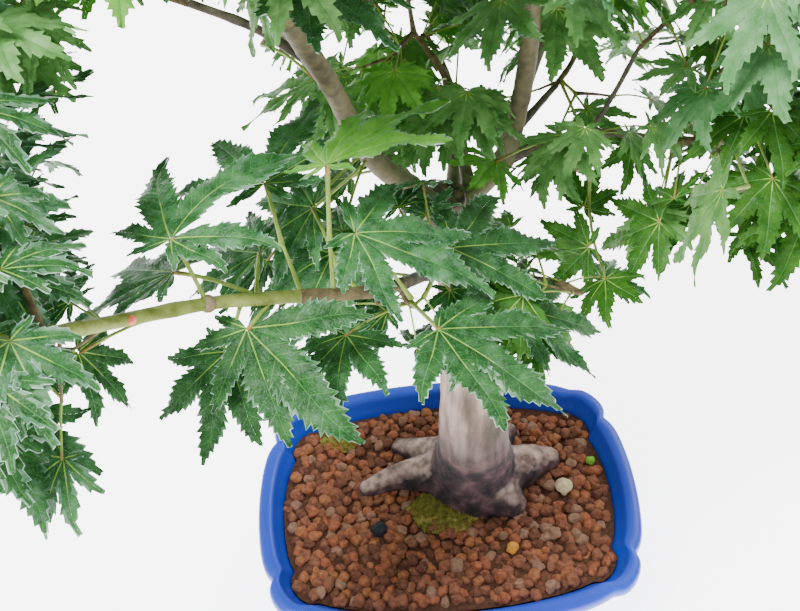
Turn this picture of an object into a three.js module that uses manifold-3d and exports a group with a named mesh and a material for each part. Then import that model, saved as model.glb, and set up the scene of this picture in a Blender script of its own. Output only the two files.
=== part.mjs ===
// Japanese maple bonsai in its glazed pot. Millimetres, +Z up. Places are measured from the middle
// of the pot on the ground; at the end the whole plant is shifted so that its origin is the bottom
// centre of its bounding box.
import * as THREE from "three";
import { mergeVertices } from "three/addons/utils/BufferGeometryUtils.js";
import Module from "manifold-3d";

const wasm = await Module();
wasm.setup();

// Pot: a rounded rectangle with four bowed sides and a small lobe at each corner
const POT_HALF_LENGTH = 100;
const POT_HALF_WIDTH = 75;
const POT_HEIGHT = 64;
const FOOT_HEIGHT = 7;
const FLOOR_TOP = 15;
const LIP_WIDTH = 8;
const LIP_DEPTH = 9;
const END_BOW = 5;
const SIDE_BOW = 9;
const NOTCH_DEPTH = 3.8;
const NOTCH_SHARPNESS = 10;
const CORNER_LENGTH = 23;
const CORNER_WIDTH = 33;
const CORNER_BULGE = 6.5;
const FOOT_LENGTH = 34;
const FOOT_WIDTH = 20;
const FOOT_AT = [52, 36];
const DRAIN_RADIUS = 7;
const DRAIN_AT = 34;

// Soil and moss
const GAP = 0.3;
const SOIL_TOP = 54;
const MOSS_MOUNDS = [
  { name: "moss_front", at: [-1, -6], size: [21, 14, 6] },
  { name: "moss_back", at: [-56, 44], size: [12, 8, 3] },
];

// Trunk and its root flare: points on the centre line, then the radius at each
const TRUNK = {
  points: [[15, 14, 50], [15, 12, 70], [15, 8, 98], [14, 6, 130], [13.5, 5, 165], [12, 5, 200], [8, 5, 235], [2, 5, 266]],
  radii: [29, 22.5, 17.8, 16.2, 13.7, 11.6, 10.5, 9.6],
};
const ROOTS = [
  { points: [[10, 13, 70], [-8, 14, 64], [-26, 14, 60], [-46, 9, 57]], radii: [15, 11, 7.5, 5.2] },
  { points: [[10, 16, 68], [-6, 27, 61], [-26, 38, 55]], radii: [15, 10, 6] },
  { points: [[18, 12, 70], [34, 13, 63], [48, 18, 60], [62, 21, 57]], radii: [16, 12.5, 10, 6] },
  { points: [[16, 8, 68], [28, -2, 60], [38, -9, 53]], radii: [17, 13, 8] },
  { points: [[18, 18, 68], [30, 33, 60], [40, 44, 53]], radii: [14, 10, 6] },
];
const TRUNK_SIDES = 12;
const TRUNK_STEPS = 11;
const ROOT_SIDES = 7;
const ROOT_STEPS = 4;
const BOUGH_SIDES = 6;

// Boughs, each from inside the limb that carries it to the point where it enters its foliage
const BOUGHS = [
  {
    name: "bough_upper_left",
    points: [[2, 5, 254], [-9, 4, 271], [-21, 2, 286], [-28, -2, 305], [-34, -8, 328], [-39, -18, 348], [-43, -29, 366]],
    radii: [7, 5, 4.5, 4.2, 3.9, 3.7, 3.6],
  },
  {
    name: "bough_leader",
    points: [[4, 6, 248], [15, 11, 261], [27, 17, 271], [33, 22, 290], [36, 22, 318], [36, 20, 344]],
    radii: [7.5, 6, 5.2, 4.6, 4.2, 3.8],
  },
  { name: "bough_front_left", points: [[4, 3, 226], [1, -14, 243], [-7, -34, 263], [-16, -58, 284]], radii: [3.6, 2.6, 2.3, 2.1] },
  { name: "bough_front_right", points: [[7, 3, 224], [20, -9, 235], [33, -24, 246]], radii: [3.4, 2.6, 2.2] },
  { name: "bough_right", points: [[28, 18, 272], [44, 21, 274], [62, 22, 277], [82, 16, 277]], radii: [3.4, 2.7, 2.4, 2.1] },
  { name: "bough_right_high", points: [[61, 22, 277], [70, 26, 292], [78, 30, 308]], radii: [1.9, 1.6, 1.5] },
  { name: "bough_middle", points: [[31, 20, 281], [42, 31, 285], [50, 40, 287]], radii: [3, 2.3, 2] },
  { name: "bough_fork", points: [[14, 10, 260], [12, 22, 272], [12, 32, 284]], radii: [3.4, 2.6, 2.2] },
  { name: "bough_back", points: [[5, 8, 236], [9, 30, 246], [12, 52, 256], [12, 66, 262]], radii: [4.6, 3.6, 3.1, 2.7] },
  { name: "bough_back_left", points: [[2, 8, 242], [-8, 20, 256], [-22, 34, 271], [-38, 50, 289], [-52, 58, 308]], radii: [4.4, 3.8, 3.3, 3, 2.7] },
  { name: "bough_back_right", points: [[33, 24, 292], [44, 42, 306], [54, 56, 322]], radii: [3.6, 3, 2.6] },
  { name: "bough_top_left", points: [[36, 22, 326], [20, 20, 346], [4, 16, 366]], radii: [3.4, 2.8, 2.4] },
  { name: "bough_left", points: [[-36, -11, 336], [-54, -10, 352], [-74, -8, 362]], radii: [3.2, 2.7, 2.3] },
];

// Leaves: seven pointed lobes around the heart, at these angles and shares of the middle lobe
const LOBE_ANGLES = [-122, -76, -38, 0, 38, 76, 122];
const LOBE_SHARES = [0.34, 0.66, 0.9, 1, 0.9, 0.66, 0.34];
const SINUS_SHARE = 0.33;
const BACK_SHARE = 0.09;
const LEAF_THICKNESS = 1.8;
const LEAF_ARCH = 0.13;
const PETIOLE_RADII = [0.5, 0.45];
const TWIG_RADII = [1.15, 1.05];
const SEAT_DEPTH = 1.2;
const STEM_TIP_RADIUS = 1.4;
const STEM_SIDES = 5;
const STEM_STATIONS = 10;
const STEM_BARE_SHARE = 0.15;
const TWIG_SIDES = 3;

// Foliage masses. stem: points from the bough's tip; space: middle and half sizes of the mass's
// own room; leaves: the ones placed by hand, each with its heart, the start of its petiole, the
// compass angle, dip and roll of its middle lobe in degrees, that lobe's length, and its lobes as
// [angle, length] where they differ from the rule. tipRadius: the stem's end, where it isn't the usual
const MASSES = [
  {
    name: "foliage_front_left",
    stem: [[-16, -58, 284], [-29, -69, 293], [-52, -78, 303], [-73, -83, 308], [-97, -108, 329], [-112, -128, 347]],
    stemRadius: 2.2,
    tipRadius: 2,
    space: { middle: [-88, -84, 328], half: [88, 86, 60] },
    seed: 11,
    leaves: [
      {
        heart: [-80, -76, 328], from: [-73, -83, 308], turn: 47, dip: -9, roll: -9, size: 43,
        lobes: [[-128, 13], [-91, 24], [-66, 34], [-15, 47], [54, 47], [106, 24], [138, 14]],
      },
      {
        heart: [-63, -85, 298], from: [-52, -76, 303], turn: -81, dip: 21, roll: 16, size: 40,
        lobes: [[-127, 12], [-88, 18], [-34, 25], [10, 36], [38, 46], [84, 37], [124, 15]],
      },
      {
        heart: [-35, -57, 335], from: [-37, -62, 308], turn: 80, dip: 7, roll: -17, size: 45,
        lobes: [[-122, 14], [-76, 33], [-36, 40], [2, 50], [36, 34], [76, 28], [122, 14]],
      },
      {
        heart: [-56, -44, 319], from: [-52, -58, 306], turn: 78, dip: -6, roll: -12, size: 40,
        lobes: [[-122, 12], [-90, 20], [-50, 35], [-8, 45], [46, 38], [84, 36], [126, 14]],
      },
      { heart: [-84, -70, 309], from: [-76, -82, 307], turn: 140, dip: 24, roll: -2, size: 42 },
      { heart: [-71, -84, 287], from: [-64, -80, 304], turn: -109, dip: 12, roll: 12, size: 42 },
      { heart: [-60, -54, 299], from: [-60, -74, 301], turn: 141, dip: 22, roll: -14, size: 34 },
      { heart: [-43, -34, 299], from: [-36, -58, 294], turn: -176, dip: 30, roll: -12, size: 34 },
      { heart: [-108, -98, 306], from: [-95, -104, 325], turn: -36, dip: 40, roll: -12, size: 38 },
      { heart: [-122, -122, 312], from: [-108, -120, 338], turn: -70, dip: 22, roll: 0, size: 32 },
      { heart: [-118, -106, 340], from: [-103, -114, 334], turn: 168, dip: 18, roll: 0, size: 40 },
    ],
  },
  {
    name: "foliage_front",
    stem: [[-16, -57, 284], [-15, -60, 280], [-13, -62, 277]],
    stemRadius: 1.6,
    space: { middle: [-8, -66, 286], half: [66, 60, 48] },
    seed: 23,
    leaves: [
      {
        heart: [-6, -85, 291], from: [-13, -62, 279], turn: -30, dip: 4, roll: -9, size: 43,
        lobes: [[-112, 13], [-74, 29], [-36, 40], [-9, 46], [38, 44], [77, 30], [111, 11]],
      },
      {
        heart: [-29, -62, 312], from: [-13, -61, 280], turn: -21, dip: 17, roll: -3, size: 43,
        lobes: [[-122, 12], [-78, 24], [-44, 33], [5, 47], [36, 41], [83, 32], [120, 16]],
      },
      { heart: [-31, -68, 281], from: [-14, -60, 277], turn: -98, dip: -10, roll: 2, size: 34 },
      { heart: [-38, -45, 288], from: [-13, -60, 279], turn: -128, dip: 34, roll: -8, size: 34 },
      { heart: [1, -47, 288], from: [-9, -58, 277], turn: 17, dip: 13, roll: 11, size: 42 },
    ],
  },
  {
    name: "foliage_front_right",
    stem: [[33, -24, 246], [42, -34, 253], [48, -42, 256]],
    stemRadius: 1.8,
    space: { middle: [46, -34, 256], half: [54, 52, 38] },
    seed: 31,
    leaves: [
      { heart: [22, -56, 265], from: [38, -32, 251], turn: 10, dip: 26, roll: 5, size: 40 },
      { heart: [61, -20, 243], from: [44, -34, 253], turn: -104, dip: 8, roll: 6, size: 34 },
    ],
  },
  {
    name: "foliage_right",
    stem: [[82, 16, 277], [98, 10, 279], [116, 6, 282], [132, 6, 286]],
    stemRadius: 2.1,
    space: { middle: [108, -2, 280], half: [70, 76, 52] },
    seed: 47,
    leaves: [
      { heart: [79, -16, 264], from: [90, 9, 276], turn: -130, dip: 34, roll: -8, size: 36 },
      { heart: [85, -16, 274], from: [93, 8, 281], turn: 30, dip: 10, roll: -6, size: 34 },
      { heart: [77, 12, 268], from: [86, 20, 274], turn: -110, dip: 12, roll: -6, size: 31 },
      { heart: [82, -62, 318], from: [95, -50, 308], turn: 168, dip: 66, roll: -2, size: 33 },
    ],
  },
  {
    name: "foliage_middle",
    stem: [[50, 40, 287], [58, 52, 288], [64, 64, 290]],
    stemRadius: 1.8,
    space: { middle: [54, 40, 284], half: [62, 62, 40] },
    seed: 53,
    leaves: [
      { heart: [47, 16, 277], from: [57, 33, 288], turn: -112, dip: 8, roll: -5, size: 33 },
      { heart: [24, 8, 278], from: [58, 18, 279], turn: 170, dip: 26, roll: -20, size: 34 },
      { heart: [62, 36, 278], from: [54, 44, 286], turn: -48, dip: 10, roll: 5, size: 31 },
    ],
  },
  {
    name: "foliage_fork",
    stem: [[12, 32, 284], [6, 40, 298], [-4, 46, 312]],
    stemRadius: 1.9,
    space: { middle: [-4, 46, 306], half: [66, 66, 50] },
    seed: 59,
    leaves: [
      { heart: [15, 22, 294], from: [11, 34, 288], turn: 0, dip: 26, roll: 16, size: 33 },
    ],
  },
  {
    name: "foliage_right_high",
    stem: [[78, 30, 308], [88, 27, 322], [100, 20, 334], [110, 14, 342]],
    stemRadius: 1.6,
    space: { middle: [96, 18, 334], half: [70, 72, 50] },
    seed: 61,
    leaves: [
      { heart: [77, 26, 314], from: [79, 30, 310], turn: -156, dip: 4, roll: 20, size: 34 },
      { heart: [92, 15, 312], from: [87, 27, 320], turn: -118, dip: 12, roll: -10, size: 32 },
    ],
  },
  {
    name: "foliage_back",
    stem: [[12, 66, 262], [10, 82, 270], [4, 100, 276]],
    stemRadius: 2.4,
    space: { middle: [6, 94, 282], half: [80, 66, 52] },
    seed: 71,
    leaves: [],
  },
  {
    name: "foliage_back_left",
    stem: [[-52, 58, 308], [-66, 64, 328], [-82, 66, 346]],
    stemRadius: 2.4,
    space: { middle: [-72, 56, 346], half: [76, 70, 58] },
    seed: 83,
    leaves: [{ heart: [-40, 14, 316], from: [-60, 36, 318], turn: 149, dip: 24, roll: -2, size: 36 }],
  },
  {
    name: "foliage_back_right",
    stem: [[54, 56, 322], [66, 68, 334], [78, 82, 342]],
    stemRadius: 2.3,
    space: { middle: [70, 72, 340], half: [72, 66, 52] },
    seed: 97,
    leaves: [{ heart: [47, 32, 326], from: [56, 50, 326], turn: -60, dip: 24, roll: 10, size: 31 }],
  },
  {
    name: "foliage_upper_left",
    stem: [[-43, -29, 366], [-47, -38, 382], [-46, -42, 400]],
    stemRadius: 2.6,
    space: { middle: [-44, -36, 392], half: [66, 62, 46] },
    seed: 101,
    leaves: [
      { heart: [-37, -32, 381], from: [-46, -36, 378], turn: -43, dip: 8, roll: -10, size: 36 },
      { heart: [-49, -20, 378], from: [-46, -34, 374], turn: -147, dip: 66, roll: 9, size: 27 },
    ],
  },
  {
    name: "foliage_left",
    stem: [[-74, -8, 362], [-94, -8, 370], [-114, -12, 374]],
    stemRadius: 2.2,
    space: { middle: [-108, -10, 374], half: [70, 72, 48] },
    seed: 113,
    leaves: [{ heart: [-83, -35, 405], from: [-90, -20, 388], turn: -83, dip: 17, roll: 0, size: 36 }],
  },
  {
    name: "foliage_top_left",
    stem: [[4, 16, 366], [-6, 16, 384], [-12, 18, 402]],
    stemRadius: 2.3,
    space: { middle: [-14, 22, 398], half: [72, 70, 50] },
    seed: 127,
    leaves: [],
  },
  {
    name: "foliage_top",
    stem: [[36, 20, 344], [40, 22, 368], [40, 24, 394]],
    stemRadius: 3,
    space: { middle: [44, 22, 390], half: [74, 70, 60] },
    seed: 131,
    leaves: [{ heart: [24, 12, 346], from: [34, 14, 352], turn: -98, dip: 14, roll: -14, size: 36 }],
  },
];

// The growing rule
const LEAF_SIZE = [32, 41];
const PETIOLE_LENGTH = [15, 27];
const LEAF_DIP = [2, 40];
const LEAF_ROLL = 18;
const HEADING_SPREAD = 70;
const HEART_SHARE = 0.8;
const TWIG_REACH = 62;
const PARTNER_TURN = [95, 165];
const PARTNER_RISE = [10, 50];
const PARTNER_TRIES = 6;
const SOWING_ROUNDS = 1500;
const LEAVES_PER_MASS = 15;
const OWN_CLEARANCE = 4.5;
const NEIGHBOUR_CLEARANCE = 8;
const LIMB_CLEARANCE = 3;
const LOBE_SAMPLES = 4;
const TWIG_SAMPLE_STEP = 8;
const SAMPLES_PER_SPAN = 6;

// The view from above and in front that the crown was laid out in: the eye's place, how far it
// looks down, its lean, and its picture's focal length and middle in pixels. Leaves of the rule
// stay out of the windows of open sky, each [left, top, right, bottom] in that picture
const VIEW = { eye: [-17, -285, 519], down: 47.2, lean: -4.4, focal: 1000, middle: [400, 305.5] };
const SKY_WINDOWS = [
  [94, 0, 234, 135],
  [94, 130, 140, 215],
  [94, 215, 112, 280],
  [132, 330, 172, 611],
  [113, 440, 262, 611],
  [262, 445, 705, 611],
  [353, 388, 406, 611],
  [590, 332, 705, 611],
  [570, 386, 705, 611],
  [642, 292, 705, 340],
  [526, 54, 590, 118],
  [458, 47, 486, 90],
  [400, 0, 422, 36],
  [310, 38, 348, 62],
  [238, 64, 266, 122],
  [602, 158, 617, 208],
  [513, 197, 555, 214],
  [548, 215, 584, 244],
];

// Where the leaves laid out by hand fill the view, the rule's leaves stay behind them
const FRONT_WINDOW = [165, 120, 590, 445];
const FRONT_DISTANCE = 336;

const COLOURS = {
  pot: 0x2c4fc4,
  soil: 0x7c4630,
  moss: 0x66762a,
  trunk: 0xa5968c,
  bough: 0x6f6250,
  foliage: 0x3f7a3e,
};

const UP = new THREE.Vector3(0, 0, 1);
const degrees = THREE.MathUtils.degToRad;
const vector = (point) => new THREE.Vector3(...point);

// Solids

function toSolid(geometry) {
  geometry.deleteAttribute("normal");
  geometry.deleteAttribute("uv");
  const merged = mergeVertices(geometry, 1e-4);
  const mesh = new wasm.Mesh({
    numProp: 3,
    vertProperties: new Float32Array(merged.attributes.position.array),
    triVerts: new Uint32Array(merged.index.array),
  });
  return new wasm.Manifold(mesh);
}

function toGeometry(solid, anchor) {
  const mesh = solid.getMesh();
  const geometry = new THREE.BufferGeometry();
  geometry.setAttribute("position", new THREE.BufferAttribute(new Float32Array(mesh.vertProperties), 3));
  geometry.setIndex(new THREE.BufferAttribute(new Uint32Array(mesh.triVerts), 1));
  geometry.translate(-anchor.x, -anchor.y, -anchor.z);
  geometry.computeVertexNormals();
  return geometry;
}

function joined(solids) {
  return solids.reduce((whole, solid) => whole.add(solid));
}

// The largest body alone, so that loose scraps and sealed hollows go
function mainBody(solid) {
  const bodies = solid.decompose();
  return bodies.reduce((best, body) => (body.volume() > best.volume() ? body : best));
}

function box(size, middle) {
  const geometry = new THREE.BoxGeometry(...size);
  geometry.translate(...middle);
  return toSolid(geometry);
}

// A round limb that follows a curve through the given points, with flat ends; grow makes it
// thicker and longer, for cutting its neighbours clear of it
function limbSolid(points, radii, sides, steps, grow = 0) {
  const curve = new THREE.CatmullRomCurve3(points.map(vector), false, "catmullrom");
  const frames = limbFrames(curve, steps);
  const geometry = new THREE.CylinderGeometry(1, 1, 1, sides, steps);
  const position = geometry.attributes.position;
  const spot = new THREE.Vector3();
  for (let i = 0; i < position.count; i += 1) {
    const share = 0.5 - position.getY(i);
    const frame = frames[Math.round(share * steps)];
    const radius = radiusAt(radii, share) + grow;
    spot.copy(frame.point);
    spot.addScaledVector(frame.side, position.getZ(i) * radius);
    spot.addScaledVector(frame.lift, -position.getX(i) * radius);
    if (share < 1e-6) {
      spot.addScaledVector(frame.along, -grow);
    }
    if (share > 1 - 1e-6) {
      spot.addScaledVector(frame.along, grow);
    }
    position.setXYZ(i, spot.x, spot.y, spot.z);
  }
  const solid = toSolid(geometry);
  return solid.volume() > 0 ? solid : toSolid(flipped(geometry));
}

function flipped(geometry) {
  const index = geometry.index.array;
  for (let i = 0; i < index.length; i += 3) {
    [index[i], index[i + 1]] = [index[i + 1], index[i]];
  }
  return geometry;
}

function limbFrames(curve, steps) {
  const frames = [];
  for (let i = 0; i <= steps; i += 1) {
    const along = curveDirection(curve, i / steps);
    const reference = Math.abs(along.z) > 0.8 ? new THREE.Vector3(1, 0, 0) : UP;
    const before = frames.length ? frames[frames.length - 1].side : new THREE.Vector3().crossVectors(reference, along);
    const side = before.clone().addScaledVector(along, -before.dot(along)).normalize();
    const lift = new THREE.Vector3().crossVectors(along, side);
    frames.push({ point: curve.getPoint(i / steps), along, side, lift });
  }
  return frames;
}

function curveDirection(curve, share) {
  const nudge = 1e-3;
  const before = curve.getPoint(Math.max(0, share - nudge));
  const after = curve.getPoint(Math.min(1, share + nudge));
  return after.sub(before).normalize();
}

function radiusAt(radii, share) {
  const place = share * (radii.length - 1);
  const first = Math.min(Math.floor(place), radii.length - 2);
  return THREE.MathUtils.lerp(radii[first], radii[first + 1], place - first);
}

// Pot

// One quarter of the rim outline, from the end of the pot round the corner to its long side
function quarterOutline(inset, notch) {
  const halfLength = POT_HALF_LENGTH - inset;
  const halfWidth = POT_HALF_WIDTH - inset;
  const cornerLength = CORNER_LENGTH - inset * 0.35;
  const cornerWidth = CORNER_WIDTH - inset * 0.35;
  const endRun = halfWidth - cornerWidth;
  const sideRun = halfLength - cornerLength;
  const shares = [0, 0.4, 0.72, 0.9, 1];
  const end = shares.map((t) => new THREE.Vector2(
    halfLength - END_BOW * t * t - notch * NOTCH_DEPTH * t ** NOTCH_SHARPNESS,
    endRun * t,
  ));
  const side = [...shares].reverse().map((t) => new THREE.Vector2(
    sideRun * t,
    halfWidth - SIDE_BOW * t * t - notch * NOTCH_DEPTH * t ** NOTCH_SHARPNESS,
  ));
  const from = end[end.length - 1];
  const to = side[0];
  const chord = to.clone().sub(from);
  const outward = new THREE.Vector2(chord.y, -chord.x).normalize();
  const corner = [];
  for (const t of [0.12, 0.38, 0.62, 0.88]) {
    const bulge = CORNER_BULGE * Math.sqrt(1 - (2 * t - 1) ** 2);
    corner.push(from.clone().addScaledVector(chord, t).addScaledVector(outward, bulge));
  }
  return [...end, ...corner, ...side.slice(0, -1)];
}

function potOutline(inset, notch = 1) {
  const quarter = quarterOutline(inset, notch);
  const top = new THREE.Vector2(0, POT_HALF_WIDTH - inset);
  const firstHalf = [...quarter, top, ...quarter.slice(1).reverse().map((p) => new THREE.Vector2(-p.x, p.y))];
  const leftEnd = new THREE.Vector2(-quarter[0].x, 0);
  return [...firstHalf, leftEnd, ...firstHalf.slice(1).reverse().map((p) => new THREE.Vector2(p.x, -p.y))];
}

// A closed solid from rings of the pot's outline, each [inset, height, notch]
function ringSolid(rings) {
  const outlines = rings.map(([inset, , notch]) => potOutline(inset, notch));
  const count = outlines[0].length;
  const profile = [new THREE.Vector2(0, 0), ...rings.map((ring, i) => new THREE.Vector2(1, i)), new THREE.Vector2(0, rings.length)];
  const geometry = new THREE.LatheGeometry(profile, count);
  const position = geometry.attributes.position;
  for (let i = 0; i < position.count; i += 1) {
    const spoke = Math.floor(i / profile.length) % count;
    const row = i % profile.length;
    if (row === 0 || row === profile.length - 1) {
      position.setXYZ(i, 0, 0, rings[row === 0 ? 0 : rings.length - 1][1]);
    } else {
      const spot = outlines[row - 1][spoke];
      position.setXYZ(i, spot.x, spot.y, rings[row - 1][1]);
    }
  }
  const solid = toSolid(geometry);
  return solid.volume() > 0 ? solid : toSolid(flipped(geometry));
}

// How far the inner wall stands in from the rim's outline at a height
function innerInset(height) {
  const points = [[FLOOR_TOP, 27], [24, 20], [SOIL_TOP, 12], [POT_HEIGHT, LIP_WIDTH]];
  const above = points.findIndex(([level]) => level >= height);
  const [upper, upperInset] = points[Math.max(1, above)];
  const [lower, lowerInset] = points[Math.max(1, above) - 1];
  return THREE.MathUtils.mapLinear(height, lower, upper, lowerInset, upperInset);
}

function makePot() {
  const lipBottom = POT_HEIGHT - LIP_DEPTH;
  const cavity = [FLOOR_TOP, 24, SOIL_TOP, POT_HEIGHT].map((height) => [innerInset(height), height, 0.35]);
  const rings = [
    [29, FOOT_HEIGHT, 0.6],
    [25, FOOT_HEIGHT + 2, 0.8],
    [16, 26, 1],
    [5.5, lipBottom, 1],
    [0.8, lipBottom + 1, 1],
    [0, lipBottom + 3, 1],
    [0, POT_HEIGHT - 1.2, 1],
    [1.2, POT_HEIGHT, 1],
    ...cavity.reverse(),
  ];
  let pot = ringSolid(rings);
  for (const x of [-1, 1]) {
    for (const y of [-1, 1]) {
      const foot = new THREE.CylinderGeometry(1, 0.86, FOOT_HEIGHT + 1, 12);
      foot.rotateX(Math.PI / 2);
      foot.scale(FOOT_LENGTH / 2, FOOT_WIDTH / 2, 1);
      foot.translate(x * FOOT_AT[0], y * FOOT_AT[1], (FOOT_HEIGHT + 1) / 2);
      pot = pot.add(toSolid(foot));
    }
    const drain = new THREE.CylinderGeometry(DRAIN_RADIUS, DRAIN_RADIUS, FLOOR_TOP, 12);
    drain.rotateX(Math.PI / 2);
    drain.translate(x * DRAIN_AT, 0, FLOOR_TOP / 2 + 2);
    pot = pot.subtract(toSolid(drain));
  }
  return pot;
}

function makeSoil() {
  const heights = [FLOOR_TOP + GAP, 24, SOIL_TOP];
  return ringSolid(heights.map((height) => [innerInset(height) + 0.6, height, 0.35]));
}

function makeMoss(mound, trunkCut) {
  const dome = new THREE.SphereGeometry(1, 12, 6);
  dome.scale(...mound.size);
  dome.translate(mound.at[0], mound.at[1], SOIL_TOP + GAP);
  const below = box([80, 80, 20], [mound.at[0], mound.at[1], SOIL_TOP + GAP - 10]);
  return toSolid(dome).subtract(below).subtract(trunkCut);
}

// Trunk and boughs

function makeTrunk(grow = 0) {
  const pieces = [limbSolid(TRUNK.points, TRUNK.radii, TRUNK_SIDES, TRUNK_STEPS, grow)];
  for (const root of ROOTS) {
    pieces.push(limbSolid(root.points, root.radii, ROOT_SIDES, ROOT_STEPS, grow));
  }
  const ground = SOIL_TOP + GAP - grow;
  return joined(pieces).subtract(box([200, 200, 60], [0, 0, ground - 30]));
}

function makeBough(bough, grow = 0) {
  return limbSolid(bough.points, bough.radii, BOUGH_SIDES, 2 * (bough.points.length - 1), grow);
}

// Foliage: the growing rule

// Even draws from 0 to 1, the same for the same seed
function seededDraws(seed) {
  let state = seed * 7919 + 13;
  return () => {
    state = (state * 16807) % 2147483647;
    return state / 2147483647;
  };
}

const between = (range, draw) => range[0] + (range[1] - range[0]) * draw;

// Forward, left and upward directions of a leaf from its compass angle, dip and roll
function leafFrame(leaf) {
  const turn = degrees(leaf.turn);
  const dip = degrees(leaf.dip);
  const roll = degrees(leaf.roll);
  const forward = new THREE.Vector3(Math.cos(turn) * Math.cos(dip), Math.sin(turn) * Math.cos(dip), -Math.sin(dip));
  const level = new THREE.Vector3(-Math.sin(turn), Math.cos(turn), 0);
  const upright = new THREE.Vector3().crossVectors(forward, level);
  const left = level.clone().multiplyScalar(Math.cos(roll)).addScaledVector(upright, Math.sin(roll));
  const above = upright.clone().multiplyScalar(Math.cos(roll)).addScaledVector(level, -Math.sin(roll));
  return { forward, left, above };
}

function leafLobes(leaf) {
  return leaf.lobes ?? LOBE_ANGLES.map((angle, i) => [angle, LOBE_SHARES[i] * leaf.size]);
}

// A point of the leaf's arched blade, given by its angle from the middle lobe and its reach
function leafPoint(leaf, frame, angle, reach) {
  const drop = LEAF_ARCH * (reach / leaf.size) ** 2 * leaf.size;
  return vector(leaf.heart)
    .addScaledVector(frame.forward, Math.cos(degrees(angle)) * reach)
    .addScaledVector(frame.left, Math.sin(degrees(angle)) * reach)
    .addScaledVector(frame.above, -drop);
}

function leafSamples(leaf) {
  const frame = leafFrame(leaf);
  const samples = [vector(leaf.heart)];
  for (const [angle, reach] of leafLobes(leaf).slice(1, -1)) {
    for (let i = 1; i <= LOBE_SAMPLES; i += 1) {
      samples.push(leafPoint(leaf, frame, angle, (reach * i) / LOBE_SAMPLES));
    }
  }
  samples.push(vector(leaf.from).lerp(vector(leaf.heart), 0.5));
  return samples;
}

function lineSamples(points) {
  const samples = [];
  for (let i = 1; i < points.length; i += 1) {
    const count = Math.max(1, Math.ceil(points[i].distanceTo(points[i - 1]) / TWIG_SAMPLE_STEP));
    for (let k = 1; k <= count; k += 1) {
      samples.push(points[i - 1].clone().lerp(points[i], k / count));
    }
  }
  return samples;
}

function limbSamples() {
  const samples = [];
  for (const limb of [TRUNK, ...BOUGHS]) {
    const curve = new THREE.CatmullRomCurve3(limb.points.map(vector), false, "catmullrom");
    const count = SAMPLES_PER_SPAN * (limb.points.length - 1);
    for (let i = 0; i <= count; i += 1) {
      samples.push({ point: curve.getPoint(i / count), radius: radiusAt(limb.radii, i / count) });
    }
  }
  return samples;
}

// True where the laid-out view shows a point in a window of open sky, or in front of its front leaves
function spoilsView(point) {
  const down = degrees(VIEW.down);
  const lean = degrees(VIEW.lean);
  const ahead = new THREE.Vector3(0, Math.cos(down), -Math.sin(down));
  const level = new THREE.Vector3(1, 0, 0);
  const upright = new THREE.Vector3().crossVectors(level, ahead);
  const right = level.clone().multiplyScalar(Math.cos(lean)).addScaledVector(upright, Math.sin(lean));
  const above = upright.clone().multiplyScalar(Math.cos(lean)).addScaledVector(level, -Math.sin(lean));
  const sight = point.clone().sub(vector(VIEW.eye));
  const across = VIEW.middle[0] + (VIEW.focal * sight.dot(right)) / sight.dot(ahead);
  const along = VIEW.middle[1] - (VIEW.focal * sight.dot(above)) / sight.dot(ahead);
  const within = ([x0, y0, x1, y1]) => across > x0 && across < x1 && along > y0 && along < y1;
  return SKY_WINDOWS.some(within) || (within(FRONT_WINDOW) && sight.length() < FRONT_DISTANCE);
}

function insideSpace(space, point) {
  const x = (point.x - space.middle[0]) / space.half[0];
  const y = (point.y - space.middle[1]) / space.half[1];
  const z = (point.z - space.middle[2]) / space.half[2];
  return x * x + y * y + z * z <= 1;
}

function nearAny(samples, point, clearance) {
  return samples.some((taken) => taken.distanceTo(point) < clearance);
}

function fits(samples, own, grown, limbs) {
  for (const sample of samples) {
    if (!insideSpace(own.mass.space, sample) || spoilsView(sample)) {
      return false;
    }
    if (limbs.some((limb) => limb.point.distanceTo(sample) < limb.radius + LIMB_CLEARANCE)) {
      return false;
    }
    if (grown.some((other) => other !== own && nearAny(other.samples, sample, NEIGHBOUR_CLEARANCE))) {
      return false;
    }
  }
  return true;
}

function addLeaf(own, leaf) {
  const samples = leafSamples(leaf);
  own.leaves.push(leaf);
  own.samples.push(...samples);
  own.blades.push(...samples.slice(0, -1));
}

function addTwig(own, points, radii) {
  const samples = lineSamples(points);
  own.twigs.push({ points, radii });
  own.samples.push(...samples);
  own.nodes.push(samples[samples.length - 1]);
}

function addStem(own) {
  const { stem, stemRadius } = own.mass;
  const curve = new THREE.CatmullRomCurve3(stem.map(vector), false, "catmullrom");
  const points = curve.getPoints(STEM_STATIONS);
  own.twigs.push({ points: stem.map(vector), radii: [stemRadius, own.mass.tipRadius ?? STEM_TIP_RADIUS] });
  own.samples.push(...points.slice(1));
  own.nodes.push(...points.slice(1));
}

// A leaf at a drawn heading, dip, roll and size is added to the mass if it fits
function tryLeaf(own, grown, limbs, root, heart, heading, seat) {
  const { draw } = own;
  const leaf = {
    heart: heart.toArray(),
    from: root.toArray(),
    seat,
    turn: heading + (draw() - 0.5) * HEADING_SPREAD,
    dip: between(LEAF_DIP, draw()),
    roll: (draw() - 0.5) * 2 * LEAF_ROLL,
    size: between(LEAF_SIZE, draw()),
  };
  const samples = leafSamples(leaf);
  const crossing = samples.some((sample) => nearAny(own.blades, sample, OWN_CLEARANCE));
  if (crossing || !fits(samples, own, grown, limbs)) {
    return false;
  }
  addLeaf(own, leaf);
  return true;
}

const headingOf = (direction) => THREE.MathUtils.radToDeg(Math.atan2(direction.y, direction.x));

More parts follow.
